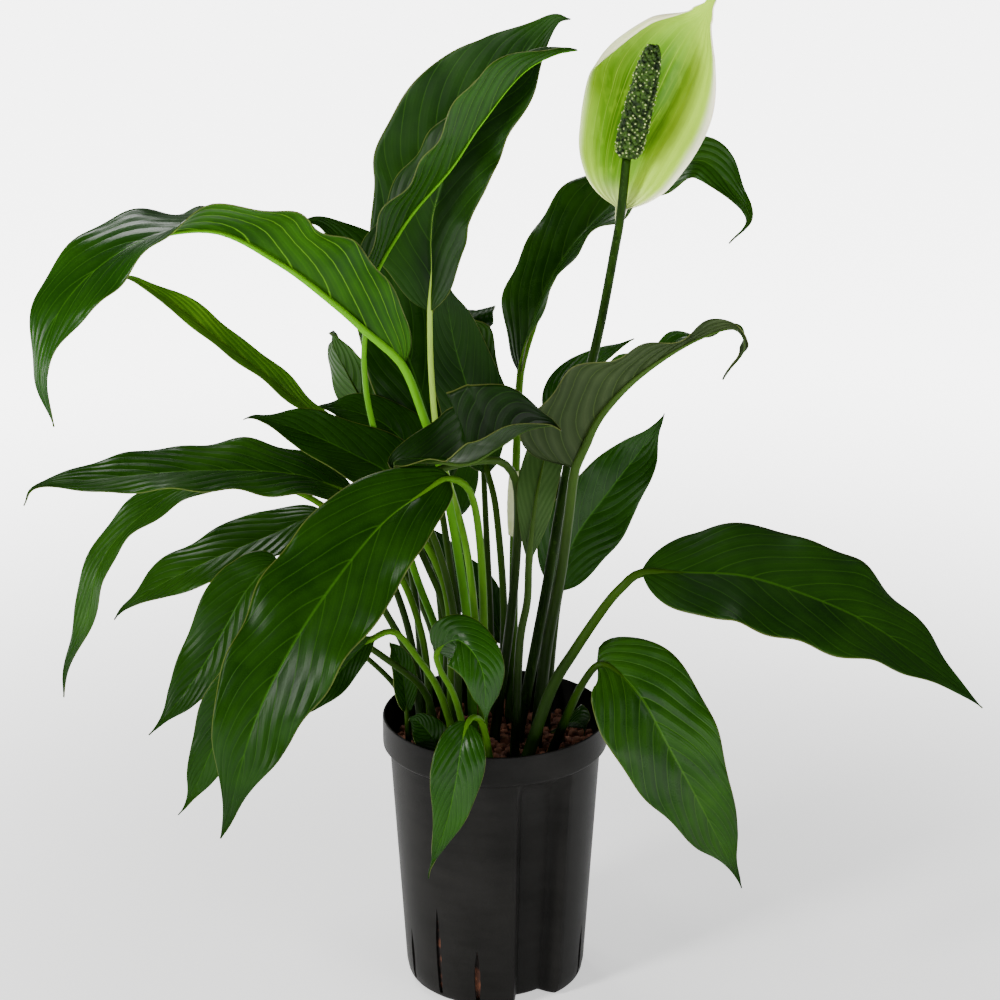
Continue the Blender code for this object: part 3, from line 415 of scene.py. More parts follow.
# the first stem point is the foot in the granules (x, y)
leafSettings = {
    "leaf_arching": {
        "looks": ("topMid", "underLitThrough", "stemPaintedLit"), "radii": (3.2, 2.7),
        "stem": [(-14, -14), (-18, -15, 260), (-31, -20, 352), (-46, -30, 408), (-58, -40, 442)],
        "blade": [(-80, -50, 469), (-102, -65, 493), (-128, -80, 517), (-163, -100, 540),
                  (-202, -115, 538), (-234, -130, 520), (-254, -145, 495), (-261, -155, 466),
                  (-253, -160, 438)],
        "facing": [(0.3, 0.5, 0.8), (0.2, 0.6, 0.8), (0.1, 0.2, 0.9), (-0.4, -0.7, 0.7),
                   (-0.5, -0.8, 0.3)],
        "width": 76, "fold": (48, 44, 24, 10, 5), "curl": -10, "outline": (0.55, 1), "quilt": 0.45,
        "ripple": 0.03, "scallop": 0.04},
    "leaf_tall": {
        "looks": ("topMatte", "underMid", "stemPale"), "radii": (3, 1.7),
        "stem": [(-8, 26), (-18, 26, 290), (-36, 20, 367), (-41, 22, 415), (-42, 30, 458)],
        "blade": [(-41, 32, 484), (-41, 34, 507), (-37, 36, 530), (-20, 36, 575), (11, 28, 614),
                  (35, 18, 644), (46, 12, 651)],
        "facing": [(-0.5, -0.9, 0.1), (-0.5, -0.9, 0.1), (-0.3, -0.9, 0.3)], "width": 90,
        "fold": (28, 26, 22), "outline": (0.65, 0.95)},
    "leaf_folded": {
        "looks": ("topMatte", "underLime", "stemPaintedLit"), "radii": (3, 1.7),
        "stem": [(-28, 14), (-37, 10, 237), (-54, 5, 292), (-78, -5, 391), (-83, -5, 429),
                 (-82, -5, 453)],
        "blade": [(-80, -5, 474), (-75, -3, 493), (-54, 2, 526), (-28, 2, 556), (-9, 0, 584),
                  (19, -3, 618), (50, -8, 634)],
        "facing": [(-0.7, -0.2, 0.5), (-0.7, -0.1, 0.6), (-0.5, 0.4, 0.8)], "width": 48,
        "fold": (55, 55, 60), "outline": (1, 0.75), "quilt": 0.35, "ripple": 0.05, "scallop": 0.05},
    "leaf_right_upper": {
        "looks": ("topQuilted", "underMid", "stemLight"), "radii": (3.6, 2.6),
        "stem": [(10, 35), (12, 45, 223), (13, 56, 300), (15, 66, 370), (17, 72, 404)],
        "blade": [(22, 76, 430), (33, 82, 459), (48, 90, 483), (68, 99, 504), (92, 106, 523),
                  (118, 109, 536), (139, 106, 540), (158, 98, 522), (168, 90, 505), (156, 84, 490)],
        "facing": [(-0.85, -0.5, 0.2), (-0.75, -0.55, 0.4), (0.2, -0.6, 0.7)],
        "sheath": (296, 340, 1.3), "width": 64, "fold": (34, 26, 12), "curl": -5,
        "outline": (0.8, 1.35), "quilt": 0.45, "ripple": 0.05, "scallop": 0.09},
    "leaf_right_middle": {
        "looks": ("topMid", "underGrey", "stemGrey"), "radii": (4.4, 3.2),
        "stem": [(27, -10), (34, -6, 238), (43, -3, 289), (48, -1, 329), (52, -3, 362)],
        "blade": [(61, -8, 392), (77, -13, 415), (98, -18, 435), (125, -23, 453), (149, -26, 461),
                  (156, -27, 448), (142, -29, 430)],
        "facing": [(-0.5, 0.35, 0.8), (-0.45, 0.4, 0.8), (0.3, 0.4, 0.9)], "width": 80,
        "fold": (55, 50, 40), "outline": (0.3, 2.5), "tipHalf": 3.4, "quilt": 0.6, "ripple": 0.05,
        "scallop": 0.05},
    "leaf_right_behind": {
        "looks": ("topMid", "underMid", "stemPaintedShade"), "radii": (2.8, 2),
        "stem": [(31, 42), (34, 64, 228), (40, 84, 285), (44, 84, 351)],
        "blade": [(45, 82, 388), (63, 80, 407), (93, 75, 428)],
        "facing": [(0.2, -0.6, 0.7), (0, -0.6, 0.8), (0, -0.6, 0.8)], "width": 26, "fold": (20, 20, 20),
        "outline": (0.6, 1.1)},
    "leaf_narrow": {
        "looks": ("topMid", "underSmooth", "stemGrey"), "radii": (3.2, 2.4),
        "stem": [(13, -26), (16, -20, 245), (21, -16, 275), (22, -12, 300)],
        "blade": [(24, -10, 322), (27, -6, 345), (31, 4, 362), (36, 14, 380), (42, 24, 397)],
        "facing": [(0.1, 1, 0), (0, 1, 0), (0, 1, 0.1)], "width": 27, "fold": (10, 10, 10),
        "outline": (0.9, 0.7)},
    "leaf_right_erect": {
        "looks": ("topMid", "underMid", "stemPaintedShade"), "radii": (3.6, 2.8),
        "stem": [(34, 26), (39, 45, 223), (44, 58, 255)],
        "blade": [(54, 65, 289), (78, 70, 323), (98, 75, 349), (115, 75, 375)],
        "facing": [(0, -1, 0.2), (0, -1, 0.2), (0.1, -1, 0.2)], "width": 52, "fold": (10, 10, 10),
        "outline": (0.55, 1)},
    "leaf_right_long": {
        "looks": ("topMatte", "underMid", "stemPaintedShade"), "radii": (4.4, 2.8),
        "stem": [(20, -44), (36, -45, 224), (51, -50, 254), (69, -55, 285), (80, -60, 301),
                 (93, -60, 311)],
        "blade": [(123, -70, 315), (161, -80, 315), (213, -100, 302), (251, -110, 282),
                  (298, -130, 250)],
        "facing": [(-0.1, -0.5, 0.9), (0.1, -0.5, 0.9), (0.3, -0.5, 0.8)], "width": 86,
        "fold": (8, 8, 8), "curl": -8, "outline": (0.6, 1.1)},
    "leaf_right_low": {
        "looks": ("topQuilted", "underMid", "stemPaintedShade"), "radii": (3.4, 2.4),
        "stem": [(38, -25), (48, -35, 205), (56, -45, 228), (66, -50, 244)],
        "blade": [(77, -55, 243), (94, -65, 227), (110, -72, 199), (128, -76, 166), (146, -76, 130),
                  (162, -74, 98)],
        "facing": [(-0.1, -0.6, 0.8), (-0.1, -0.9, 0.3), (-0.3, -0.9, 0.1)], "width": 70,
        "fold": (15, 15, 12), "curl": -8, "outline": (0.42, 1.1), "quilt": 0.45},
    "leaf_centre": {
        "looks": ("topPaintedShade", "underDark", "stemGrey"), "radii": (3.4, 2.4),
        "stem": [(0, 5), (12, 4, 272), (15, 3, 340), (8, -6, 364), (-4, -18, 372), (-24, -33, 374),
                 (-46, -42, 370), (-60, -47, 373)],
        "blade": [(-62, -49, 381), (-50, -52, 384), (-34, -55, 384), (-16, -59, 384), (3, -64, 396),
                  (20, -69, 408), (41, -76, 414)],
        "facing": [(0, -0.42, 0.91), (0, -0.42, 0.91), (0, -0.4, 0.9)], "width": 92,
        "fold": (20, 50, 50), "outline": (1.5, 1.2), "quilt": 0.12},
    "leaf_centre_dark": {
        "looks": ("topMatte", "underMid", "stemPaintedShade"), "radii": (3, 2.2),
        "stem": [(3, 38), (6, 32, 246), (1, 34, 318), (-5, 40, 345)],
        "blade": [(-10, 45, 362), (-16, 48, 393), (-26, 50, 428), (-31, 50, 457), (-34, 50, 480)],
        "facing": [(0.3, -1, 0.1), (0.3, -0.9, 0.2), (0.2, -0.9, 0.3)], "width": 48,
        "fold": (10, 10, 10)},
    "leaf_left_rolled": {
        "looks": ("underYoung", "underYoung", "stemPaintedShade"), "radii": (2.8, 2),
        "stem": [(-35, 0), (-32, 4, 250), (-44, 12, 288), (-75, 18, 350), (-97, 20, 378)],
        "blade": [(-110, 20, 388), (-126, 20, 399), (-150, 20, 420), (-179, 20, 443), (-205, 20, 465),
                  (-238, 20, 486)],
        "facing": [(0.4, -0.5, 0.8), (0.4, -0.5, 0.8), (0.4, -0.5, 0.8)], "width": 22,
        "fold": (25, 25, 20), "curl": -10, "outline": (0.7, 0.6), "ripple": 0.05, "scallop": 0.08},
    "leaf_left_long": {
        "looks": ("topQuilted", "underMid", "stemLight"), "radii": (2.8, 2.2),
        "stem": [(-30, -15), (-29, -20, 261), (-39, -20, 305), (-64, -20, 342), (-89, -25, 351)],
        "blade": [(-125, -40, 370), (-182, -60, 379), (-242, -80, 380), (-278, -95, 380),
                  (-287, -100, 371)],
        "facing": [(0, -0.5, 0.9), (0, -0.4, 0.9), (-0.4, -0.5, 0.8)], "width": 48, "curl": -10,
        "outline": (0.5, 0.9), "quilt": 0.55, "ripple": 0.035, "scallop": 0.07},
    "leaf_left_drooping": {
        "looks": ("topQuilted", "underMid", "stemLight"), "radii": (2.6, 2),
        "stem": [(-42, -10), (-48, -5, 246), (-69, 0, 298), (-109, 3, 332), (-135, 7, 345)],
        "blade": [(-165, 8, 353), (-202, 4, 346), (-227, -4, 332), (-247, -12, 314), (-258, -20, 295),
                  (-265, -27, 266), (-277, -32, 239), (-282, -35, 216)],
        "facing": [(0, -0.5, 0.9), (-0.5, -0.6, 0.6), (-0.6, -0.8, 0.1)], "width": 27,
        "fold": (20, 20, 20), "curl": -10, "outline": (0.5, 0.8), "quilt": 0.45, "ripple": 0.05,
        "scallop": 0.09},
    "leaf_left_middle": {
        "looks": ("topQuilted", "underMid", "stemPaintedShade"), "radii": (2.8, 2),
        "stem": [(-46, 10), (-60, 17, 251), (-82, 21, 301), (-113, 20, 322)],
        "blade": [(-147, 10, 312), (-185, -15, 303), (-216, -25, 290), (-246, -35, 273)],
        "facing": [(0, -0.6, 0.8), (-0.1, -0.6, 0.8), (-0.2, -0.6, 0.8)], "width": 40, "curl": -8,
        "outline": (0.6, 0.9), "quilt": 0.55, "ripple": 0.035, "scallop": 0.06},
    "leaf_front_large": {
        "looks": ("topDeep", "underMid", "stemLight"), "radii": (3.2, 2.2),
        "stem": [(-8, -38), (-7, -45, 259), (-9, -50, 323), (-15, -55, 362), (-28, -62, 374)],
        "blade": [(-43, -72, 369), (-69, -86, 353), (-99, -105, 320), (-125, -124, 284),
                  (-148, -138, 238), (-167, -150, 170)],
        "facing": [(-0.3, -0.7, 0.6), (-0.3, -0.9, 0.3), (-0.2, -1, 0.1)], "width": 77,
        "fold": (12, 12, 10), "curl": -8, "outline": (0.55, 0.9)},
    "leaf_left_low": {
        # the default deep top look stands here as painted shade: this leaf lies in shade
        "radii": (2.8, 2),
        "stem": [(-47, -22), (-54, -15, 225), (-68, -18, 262), (-92, -34, 303), (-137, -45, 311)],
        "blade": [(-156, -50, 298), (-171, -57, 274), (-187, -62, 247), (-203, -67, 225),
                  (-220, -72, 205)],
        "facing": [(-0.1, -0.7, 0.7), (-0.2, -0.9, 0.4), (-0.2, -1, 0.2)], "width": 44,
        "fold": (15, 15, 12), "curl": -8, "outline": (0.5, 1.1), "quilt": 0.4},
    "leaf_left_hanging": {
        "radii": (2.6, 2),
        "stem": [(-37, -31), (-44, -34, 215), (-62, -56, 245), (-104, -72, 278), (-141, -80, 267)],
        "blade": [(-161, -85, 238), (-178, -90, 205), (-190, -93, 178), (-200, -96, 160)],
        "facing": [(-0.2, -0.9, 0.3), (-0.2, -1, 0.2), (-0.2, -1, 0.1)], "width": 38, "curl": -8,
        "outline": (0.6, 1.2)},
    "leaf_left_small": {
        "radii": (2.2, 1.6), "stem": [(-53, 0), (-69, -10, 217), (-114, -20, 256)],
        "blade": [(-153, -25, 244), (-202, -35, 211)],
        "facing": [(0, -0.8, 0.5), (-0.1, -0.9, 0.4), (-0.1, -0.9, 0.4)], "width": 30,
        "fold": (10, 10, 10)},
    "leaf_brown_edge": {
        "looks": ("topDeep", "underMid", "stemLight"), "radii": (2.6, 2),
        "stem": [(-22, -44), (-35, -55, 226), (-50, -68, 258), (-63, -76, 277), (-76, -81, 275)],
        "blade": [(-89, -85, 264), (-102, -88, 249), (-115, -91, 236), (-128, -94, 223)],
        "facing": [(0.5, -0.7, 0.5), (0.5, -0.7, 0.5), (0.4, -0.8, 0.4)], "width": 20,
        "fold": (20, 20, 20)},
    "leaf_mid_left": {
        "radii": (3, 2.2), "stem": [(-24, -30), (-26, -30, 267), (-42, -26, 330)],
        "blade": [(-64, -21, 361), (-89, -22, 377), (-121, -24, 393), (-158, -30, 407)],
        "facing": [(0, -0.7, 0.7), (0, -0.6, 0.8), (0, -0.6, 0.8)], "width": 46},
    "leaf_mid_behind": {
        "radii": (2.8, 2), "stem": [(-33, 30), (-37, 32, 256), (-47, 32, 326)],
        "blade": [(-55, 32, 360), (-72, 34, 380), (-95, 36, 389), (-120, 38, 392)],
        "facing": [(0.2, -0.8, 0.6), (0.1, -0.7, 0.7), (0, -0.7, 0.7)], "width": 40},
    "leaf_back_tall": {
        "radii": (3.2, 2.2), "stem": [(-18, 46), (-27, 50, 251), (-38, 54, 330)],
        "blade": [(-42, 56, 369), (-51, 60, 399), (-66, 64, 439), (-85, 64, 478), (-108, 58, 507),
                  (-128, 48, 515)],
        "facing": [(0.3, -0.9, 0.3), (0.3, -0.9, 0.4), (0.3, -0.8, 0.5)], "width": 64},
    "leaf_olive": {
        "looks": ("topMid", "underMid", "stemPaintedShade"), "radii": (2.8, 2),
        "stem": [(-48, 32), (-55, 55, 256), (-72, 66, 340)],
        "blade": [(-84, 72, 374), (-98, 76, 402), (-108, 80, 422), (-107, 90, 430)],
        "facing": [(0.3, 0.9, 0.2), (0.3, 0.9, 0.2), (0.2, 0.7, 0.7)], "width": 38,
        "outline": (0.6, 0.7), "ripple": 0.05, "scallop": 0.05},
    "leaf_front_small": {
        "looks": ("topMid", "underMid", "stemLight"), "radii": (2.4, 1.8),
        "stem": [(-14, -54), (-25, -65, 226), (-35, -72, 251), (-36, -78, 265)],
        "blade": [(-22, -90, 277), (-8, -100, 262), (-5, -105, 228)],
        "facing": [(0.1, -0.9, 0.5), (0.2, -1, 0.1), (0.1, -1, 0)], "width": 34, "curl": -20,
        "outline": (0.5, 1)},
    "leaf_back_square": {
        "radii": (3, 2), "stem": [(-2, 51), (-4, 60, 247), (-8, 75, 340)],
        "blade": [(-9, 85, 382), (-14, 92, 412), (-16, 100, 433), (-12, 116, 436), (-6, 132, 416)],
        "facing": [(0.2, 0.9, 0.3), (0.2, 0.8, 0.4), (0.1, 0.5, 0.9), (0, 0.8, 0.6)], "width": 32,
        "fold": (8, 8, 8), "outline": (0.6, 0.5)},
    "leaf_over_rim": {
        "looks": ("topMid", "underMid", "stemLight"), "radii": (2.6, 1.8),
        "stem": [(-2, -58), (-7, -64, 206), (-12, -74, 218), (-17, -82, 218)],
        "blade": [(-21, -92, 207), (-25, -98, 182), (-32, -98, 151), (-44, -94, 115)],
        "facing": [(0, -0.9, 0.4), (0, -1, 0.1), (0, -1, 0)], "width": 34, "fold": (20, 20, 15),
        "curl": -20, "outline": (0.6, 1.7)},
    "leaf_in_pot_right": {
        "radii": (2.2, 1.6), "stem": [(44, 4), (45, 0, 179)],
        "blade": [(47, -5, 184), (54, -14, 189), (60, -24, 188)],
        "facing": [(0, -0.5, 0.9), (0, -0.5, 0.9), (0.1, -0.5, 0.9)], "width": 29,
        "fold": (10, 10, 10)},
    "leaf_behind_stems": {
        "radii": (2.4, 1.8), "stem": [(12, 52), (6, 66, 212)],
        "blade": [(-12, 72, 245), (-31, 74, 264), (-44, 74, 286), (-53, 72, 302)],
        "facing": [(0, -0.9, 0.4), (0, -0.9, 0.4), (0, -0.9, 0.4)], "width": 32, "fold": (10, 10, 10),
        "outline": (0.6, 0.8)},
    "leaf_in_pot_left": {
        "radii": (2.2, 1.6), "stem": [(-34, -48), (-36, -48, 182)],
        "blade": [(-41, -48, 193), (-49, -44, 201), (-57, -39, 203)],
        "facing": [(0, -0.9, 0.4), (-0.1, -0.9, 0.4), (-0.2, -0.9, 0.4)], "width": 23,
        "fold": (10, 10, 10)},
    "leaf_young": {
        "looks": ("topMid", "underMid", "stemPaintedShade"), "radii": (1.8, 1.4),
        "stem": [(-56, 22), (-57, 22, 186)],
        "blade": [(-58, 21, 196), (-59, 20, 206), (-60, 18, 216)],
        "facing": [(0, -1, 0.2), (0, -1, 0.2), (0, -1, 0.2)], "width": 14, "fold": (10, 10, 10),
        "outline": (0.6, 0.8)},
    "leaf_curled": {
        "radii": (2.2, 1.6), "stem": [(-57, -22), (-58, -24, 200)],
        "blade": [(-59, -27, 218), (-61, -32, 236), (-65, -38, 250), (-68, -46, 258)],
        "facing": [(0.3, -0.9, 0.3), (0.3, -0.9, 0.3), (0.3, -0.9, 0.3)], "width": 18,
        "fold": (25, 25, 20), "outline": (0.6, 0.8)},
    "leaf_rear_centre": {
        "looks": ("topMid", "underMid", "stemPaintedShade"), "radii": (3, 2.2),
        "stem": [(-8, 60), (-14, 80, 230), (-26, 110, 290)],
        "blade": [(-38, 140, 320), (-50, 175, 330), (-58, 215, 310), (-62, 245, 270)],
        "facing": [(0, 0.3, 0.9), (0, 0.6, 0.8), (0, 0.9, 0.4)], "width": 60, "fold": (12, 12, 10),
        "curl": -5},
    "leaf_rear_left": {
        "looks": ("topMid", "underMid", "stemPaintedShade"), "radii": (3, 2.2),
        "stem": [(-32, 48), (-45, 70, 225), (-70, 98, 265)],
        "blade": [(-95, 125, 280), (-120, 145, 268), (-142, 160, 240), (-155, 170, 205)],
        "facing": [(-0.3, 0.4, 0.9), (-0.5, 0.6, 0.6), (-0.6, 0.7, 0.3)], "width": 54,
        "fold": (12, 12, 10), "curl": -5},
    "leaf_rear_right": {
        "looks": ("topMid", "underMid", "stemPaintedShade"), "radii": (3, 2.2),
        "stem": [(26, 50), (32, 70, 215), (45, 115, 258)],
        "blade": [(52, 145, 270), (57, 172, 264), (60, 192, 244), (61, 204, 222)],
        "facing": [(0.3, 0.4, 0.9), (0.4, 0.7, 0.6), (0.5, 0.8, 0.2)], "width": 50,
        "fold": (12, 12, 10), "curl": -5},
}
leafGrid = {"across": 26, "along": 116, "stemSides": 10, "stemRows": 36, "ribRows": 64}
leafShape = {
    "footHeight": 146.5, "leaveHeight": 173.0,  # a stem starts in the granules and leaves them here
    "thickness": 0.55, "leastHalf": 0.4, "neck": 0.12,
    "groove": 0.7, "grooveWidth": 0.07,  # above the midrib
    "wave": 0.03, "waveRate": 15.0, "rippleRun": 6.5, "scallopRun": 9,
    "hookFrom": 0.93, "hookRun": 0.07, "aside": 1.5, "droop": 4.5,  # the bend of the drawn-out tip
    "ribEnd": 0.25, "ribSink": 0.4,
}
sheathSettings = {"across": 6, "along": 30, "gap": 0.5, "lean": 0.6, "spread": 2, "thickness": 0.4}


def curvePoint(points, t):  # smooth curve through the points
    count = len(points) - 1
    place = clamp(t) * count
    index = min(int(place), count - 1)
    u = place - index
    p1 = Vector(points[index])
    p2 = Vector(points[index + 1])
    p0 = Vector(points[index - 1]) if index > 0 else p1 * 2 - p2
    p3 = Vector(points[index + 2]) if index + 2 <= count else p2 * 2 - p1
    return 0.5 * ((2 * p1) + (p2 - p0) * u + (2 * p0 - 5 * p1 + 4 * p2 - p3) * u * u
                  + (3 * p1 - p0 - 3 * p2 + p3) * u * u * u)


def evenLine(points, low, high, count, steps=240):  # equal steps along part of the curve
    fine = [curvePoint(points, low + (high - low) * i / steps) for i in range(steps + 1)]
    run = [0.0]
    for i in range(steps):
        run.append(run[-1] + (fine[i + 1] - fine[i]).length)
    result = []
    step = 0
    for i in range(count + 1):
        goal = run[-1] * i / count
        while step < steps - 1 and run[step + 1] < goal:
            step += 1
        share = (goal - run[step]) / max(run[step + 1] - run[step], 1e-9)
        result.append(fine[step].lerp(fine[step + 1], min(share, 1.0)))
    return result, run[-1]


def mixList(values, t):
    place = clamp(t) * (len(values) - 1)
    index = min(int(place), len(values) - 2)
    share = place - index
    if isinstance(values[0], tuple):
        return Vector(values[index]).lerp(Vector(values[index + 1]), share)
    return values[index] * (1 - share) + values[index + 1] * share


def outlineShare(t, front, back):  # half width of a blade, 1 at its widest
    peak = front / (front + back)
    top = peak ** front * (1 - peak) ** back
    t = clamp(t)
    drawn = 1 - 0.45 * ease(clamp((t - 0.78) / 0.16))  # the tip is drawn out to a point
    return drawn * t ** front * (1 - t) ** back / top


def frameAt(tangent, want):  # tangent, face and side
    face = (want - tangent * want.dot(tangent)).normalized()
    return tangent, face, tangent.cross(face).normalized()


def framesAlong(centres, facing):
    last = len(centres) - 1
    tangents = [(centres[min(i + 1, last)] - centres[max(i - 1, 0)]).normalized()
                for i in range(last + 1)]
    return [frameAt(tangent, want) for tangent, want in zip(tangents, facing)]


def foldOut(side, face, sign, share, half, fold, curl):
    # from the rib out to this share of the half width, rising by the fold and curling on
    a = math.radians(fold)
    c = math.radians(curl)
    if c:
        out = (math.sin(a + c * share) - math.sin(a)) / c
        rise = (math.cos(a) - math.cos(a + c * share)) / c
    else:
        out, rise = share * math.cos(a), share * math.sin(a)
    return side * (sign * out * half) + face * (rise * half)


def makeTube(centres, frames, radii, sides, drop=None):
    # a grid rolled up along the line; its seam is merged and its ends are closed
    rows = len(centres) - 1
    tube = addGrid(sides, rows)
    for vert in tube.data.vertices:
        row = round((vert.co.y + 0.5) * rows)
        face, side = frames[row][1:]
        angle = 2 * math.pi * (vert.co.x + 0.5)
        place = (centres[row] + side * (radii[row] * math.cos(angle))
                 + face * (radii[row] * math.sin(angle)))
        if drop:
            place = place - face * drop[row]
        vert.co = place * mm
    startEdit(tube)
    bpy.ops.mesh.remove_doubles(threshold=0.000002)
    bpy.ops.mesh.fill_holes(sides=0)
    endEdit()
    smoothAll(tube)
    return tube


def leafLines(s):
    # stem and blade lines with the frame at each point, the blade's first point, and its length
    x, y = s["stem"][0]
    rows = leafGrid["along"]
    line = [(x, y, leafShape["leaveHeight"])] + s["stem"][1:] + s["blade"]
    split = (len(s["stem"]) - 1) / (len(line) - 1)
    stemLine = evenLine(line, 0, split, leafGrid["stemRows"] - 2)[0]
    bladeLine, length = evenLine(line, split, 1, rows)
    stemLine = [Vector((x, y, leafShape["footHeight"]))] + stemLine
    facing = [mixList(s["facing"], i / rows) for i in range(rows + 1)]
    centres = stemLine + bladeLine[1:]
    frames = framesAlong(centres, [facing[0]] * len(stemLine) + facing[1:])
    first = len(stemLine) - 1
    face = frames[first][1]
    for i in range(first, -1, -1):  # the face is carried down the stem
        frames[i] = frameAt(Vector((0, 0, 1)) if i == 0 else frames[i][0], face)
        face = frames[i][1]
    return centres, frames, first, length


def tipBend(t, seed, frames):  # how far the drawn-out tip goes aside and down
    hook = max((t - leafShape["hookFrom"]) / leafShape["hookRun"], 0.0) ** 2
    aside = leafShape["aside"] if seed % 2 else -leafShape["aside"]
    down = leafShape["droop"] * (1 - abs(frames[-1][0].z))
    return hook * aside, Vector((0, 0, hook * down))


def makeBlade(s, seed, centres, frames, first, length):
    shape = leafShape
    veins = veinSettings
    width = s["width"]
    blade = addGrid(leafGrid["across"], leafGrid["along"])
    for vert, row, t, x, sign in halfPoints(blade, leafGrid["along"]):
        face, side = frames[first + row][1:]
        middle = math.sin(math.pi * t)  # 0 at the base and the tip
        half = max(width / 2 * outlineShare(t, *s["outline"]), shape["leastHalf"])
        half *= 1 + (s["scallop"] * math.sin(t * length / shape["scallopRun"] + seed * 1.7 + sign * 2.1)
                     * middle ** 0.5)
        if t < shape["neck"]:
            half = max(half, s["radii"][1] * 1.05)
        half = max(half, s["tipHalf"] * min((1 - t) / 0.12, 1))
        fold = mixList(s["fold"], t)
        place = centres[first + row] + foldOut(side, face, sign, x, half, fold, s["curl"])
        lift = width * shape["wave"] * math.sin(t * shape["waveRate"]) * middle * x ** 2
        ripple = (width * s["ripple"] * math.sin(t * length / shape["rippleRun"] + seed + sign * 1.2)
                  * middle ** 0.7 * x ** 3)
        phase = (t - veins["sweep"] * x ** veins["curve"]) * veins["count"]
        swell = abs(math.sin(math.pi * phase)) ** 0.8 - 0.6
        full = min(half / 30, 1) * min(x * 8, 1) * min((1 - x) * 6, 1)
        groove = (shape["groove"] * math.exp(-(x / shape["grooveWidth"]) ** 2) * (1 - t)
                  * min(half / 20, 1))
        place = place + face * (ripple + s["quilt"] * swell * full - groove) - face * (sign * lift)
        aside, down = tipBend(t, seed, frames)
        vert.co = (place + side * aside - down) * mm
    return blade


def makeStem(s, seed, centres, frames, first):  # and the rib under the blade, in one tube
    low, high = s["radii"]
    points = centres[:first + 1]
    sections = frames[:first + 1]
    radii = [low + (high - low) * max(0.0, (i - 1) / (first - 1)) for i in range(first + 1)]
    drop = [0.0] * (first + 1)
    for i in range(1, leafGrid["ribRows"] + 1):
        t = i / leafGrid["ribRows"]
        at = min(first + round(t * leafGrid["along"]), len(centres) - 1)
        aside, down = tipBend(t, seed, frames)
        points.append(centres[at] + (frames[at][2] * aside - down))
        sections.append(frames[at])
        radius = max(high * (1 - t) ** 1.3, leafShape["ribEnd"])
        radii.append(radius)
        drop.append((radius * 1.02 + leafShape["ribSink"]) * min(t * 9, 1))
    return makeTube(points, sections, radii, leafGrid["stemSides"], drop)


def makeSheath(s, leaf, centres, first):  # a pale dry sheath that clasps the stem
    low, high, half = leaf["sheath"]
    sheath = addGrid(s["across"], s["along"])
    for vert in sheath.data.vertices:
        share = vert.co.y + 0.5
        height = low + (high - low) * share
        at = min(range(first), key=lambda i: abs(centres[i].z - height))
        turn = vert.co.x * s["spread"]
        wide = half * math.sin(math.pi * share) ** 0.8
        around = Vector((math.sin(turn - s["lean"]), -math.cos(turn - s["lean"]), 0))
        place = Vector((centres[at].x, centres[at].y, height)) + around * (leaf["radii"][0] + s["gap"])
        vert.co = (place + Vector((turn * wide, 0, 0))) * mm
    return sheath


def makeLeaf(name, s, looks):
    seed = sum(ord(c) for c in name) % 97
    centres, frames, first, length = leafLines(s)
    top, under, stem = s["looks"]
    blade = makeBlade(s, seed, centres, frames, first, length)
    paint(blade, looks[top], looks[under])
    thicken(blade, leafShape["thickness"], 1)
    tube = makeStem(s, seed, centres, frames, first)
    paint(tube, looks[stem])
    pieces = [blade, tube]
    if "sheath" in s:
        sheath = makeSheath(sheathSettings, s, centres, first)
        paint(sheath, looks["sheathCream"])
        thicken(sheath, sheathSettings["thickness"], 0)
        pieces.append(sheath)
    leaf = joinAll(pieces, name.replace("_", "-"))
    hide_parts(name)
    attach(leaf, "root")
    "leaf_bright" if under == "underLitThrough" else "leaf_green"


# flower
stalkSettings = {
    "points": [(16, 5), (33, 14, 266), (50, 30, 364), (66, 34, 436), (71, 30, 464), (76, 18, 500),
               (79, 9, 524), (82, 3, 562)],
    "rows": 110, "sides": 14, "low": 3.8, "high": 2.8, "lowHeight": 146,
}
spatheSettings = {
    "behind": [(508, 0.7), (521, 1.1)],  # heights and gaps where it runs behind the stalk
    "spine": [(84, 16, 546), (93, 22, 570), (107, 27, 594), (122, 25, 626), (134, 12, 660)],
    "facing": [(-0.3, -1.0, 0.0), (-0.4, -0.9, 0.35), (-0.4, -0.8, 0.5)],
    "tail": 0.12, "tailHalf": 1.0, "tailGrow": 2.9, "half": 44, "outline": (0.6, 0.9), "tipHalf": 8.5,
    "fold": 4, "curl": 34,
    "rollFrom": 0.70, "roll": 160, "leastRoll": 8,  # the lip of the upper left margin
    "lipGrow": 0.52, "lipStart": 0.34, "lipRise": 0.34, "lipEnd": 0.97, "lipFall": 0.14,
    "wave": 1.2, "waveRate": 17, "rib": 0.25, "ribRate": 34,
    "across": 56, "along": 110, "thickness": 0.7,
}
spadixSettings = {
    "axis": (15.2, -4.4, 69.5), "foot": 0.65, "length": 71, "end": 0.985, "sides": 20, "rows": 22,
    "profile": [(0.0, 3.2), (0.03, 6.0), (0.15, 7.9), (0.45, 7.6), (0.75, 6.7), (0.92, 5.2),
                (0.985, 2.8)],
    "florets": 430, "floretSize": 2.0, "floretFlat": 0.8, "turn": 137.508, "knobSize": 0.33,
    "knobHeight": 0.74, "seed": 4,
}


def stalkLine(count):
    x, y = stalkSettings["points"][0]
    line = [(x, y, leafShape["leaveHeight"])] + stalkSettings["points"][1:]
    return evenLine(line, 0, 1, count)[0]


def stalkRadius(z):
    s = stalkSettings
    rise = s["points"][-1][2] - s["lowHeight"]
    return s["low"] - (s["low"] - s["high"]) * (z - s["lowHeight"]) / rise


def makeStalk(s, looks):
    x, y = s["points"][0]
    centres = [Vector((x, y, leafShape["footHeight"]))] + stalkLine(s["rows"] - 1)
    frames = framesAlong(centres, [Vector((0, -1, 0))] * len(centres))
    stalk = makeTube(centres, frames, [stalkRadius(c.z) for c in centres], s["sides"])
    paint(stalk, looks["flowerStalk"])
    stalk = joinAll([stalk], "flower-stalk")
    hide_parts("flower_stalk")
    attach(stalk, "root")


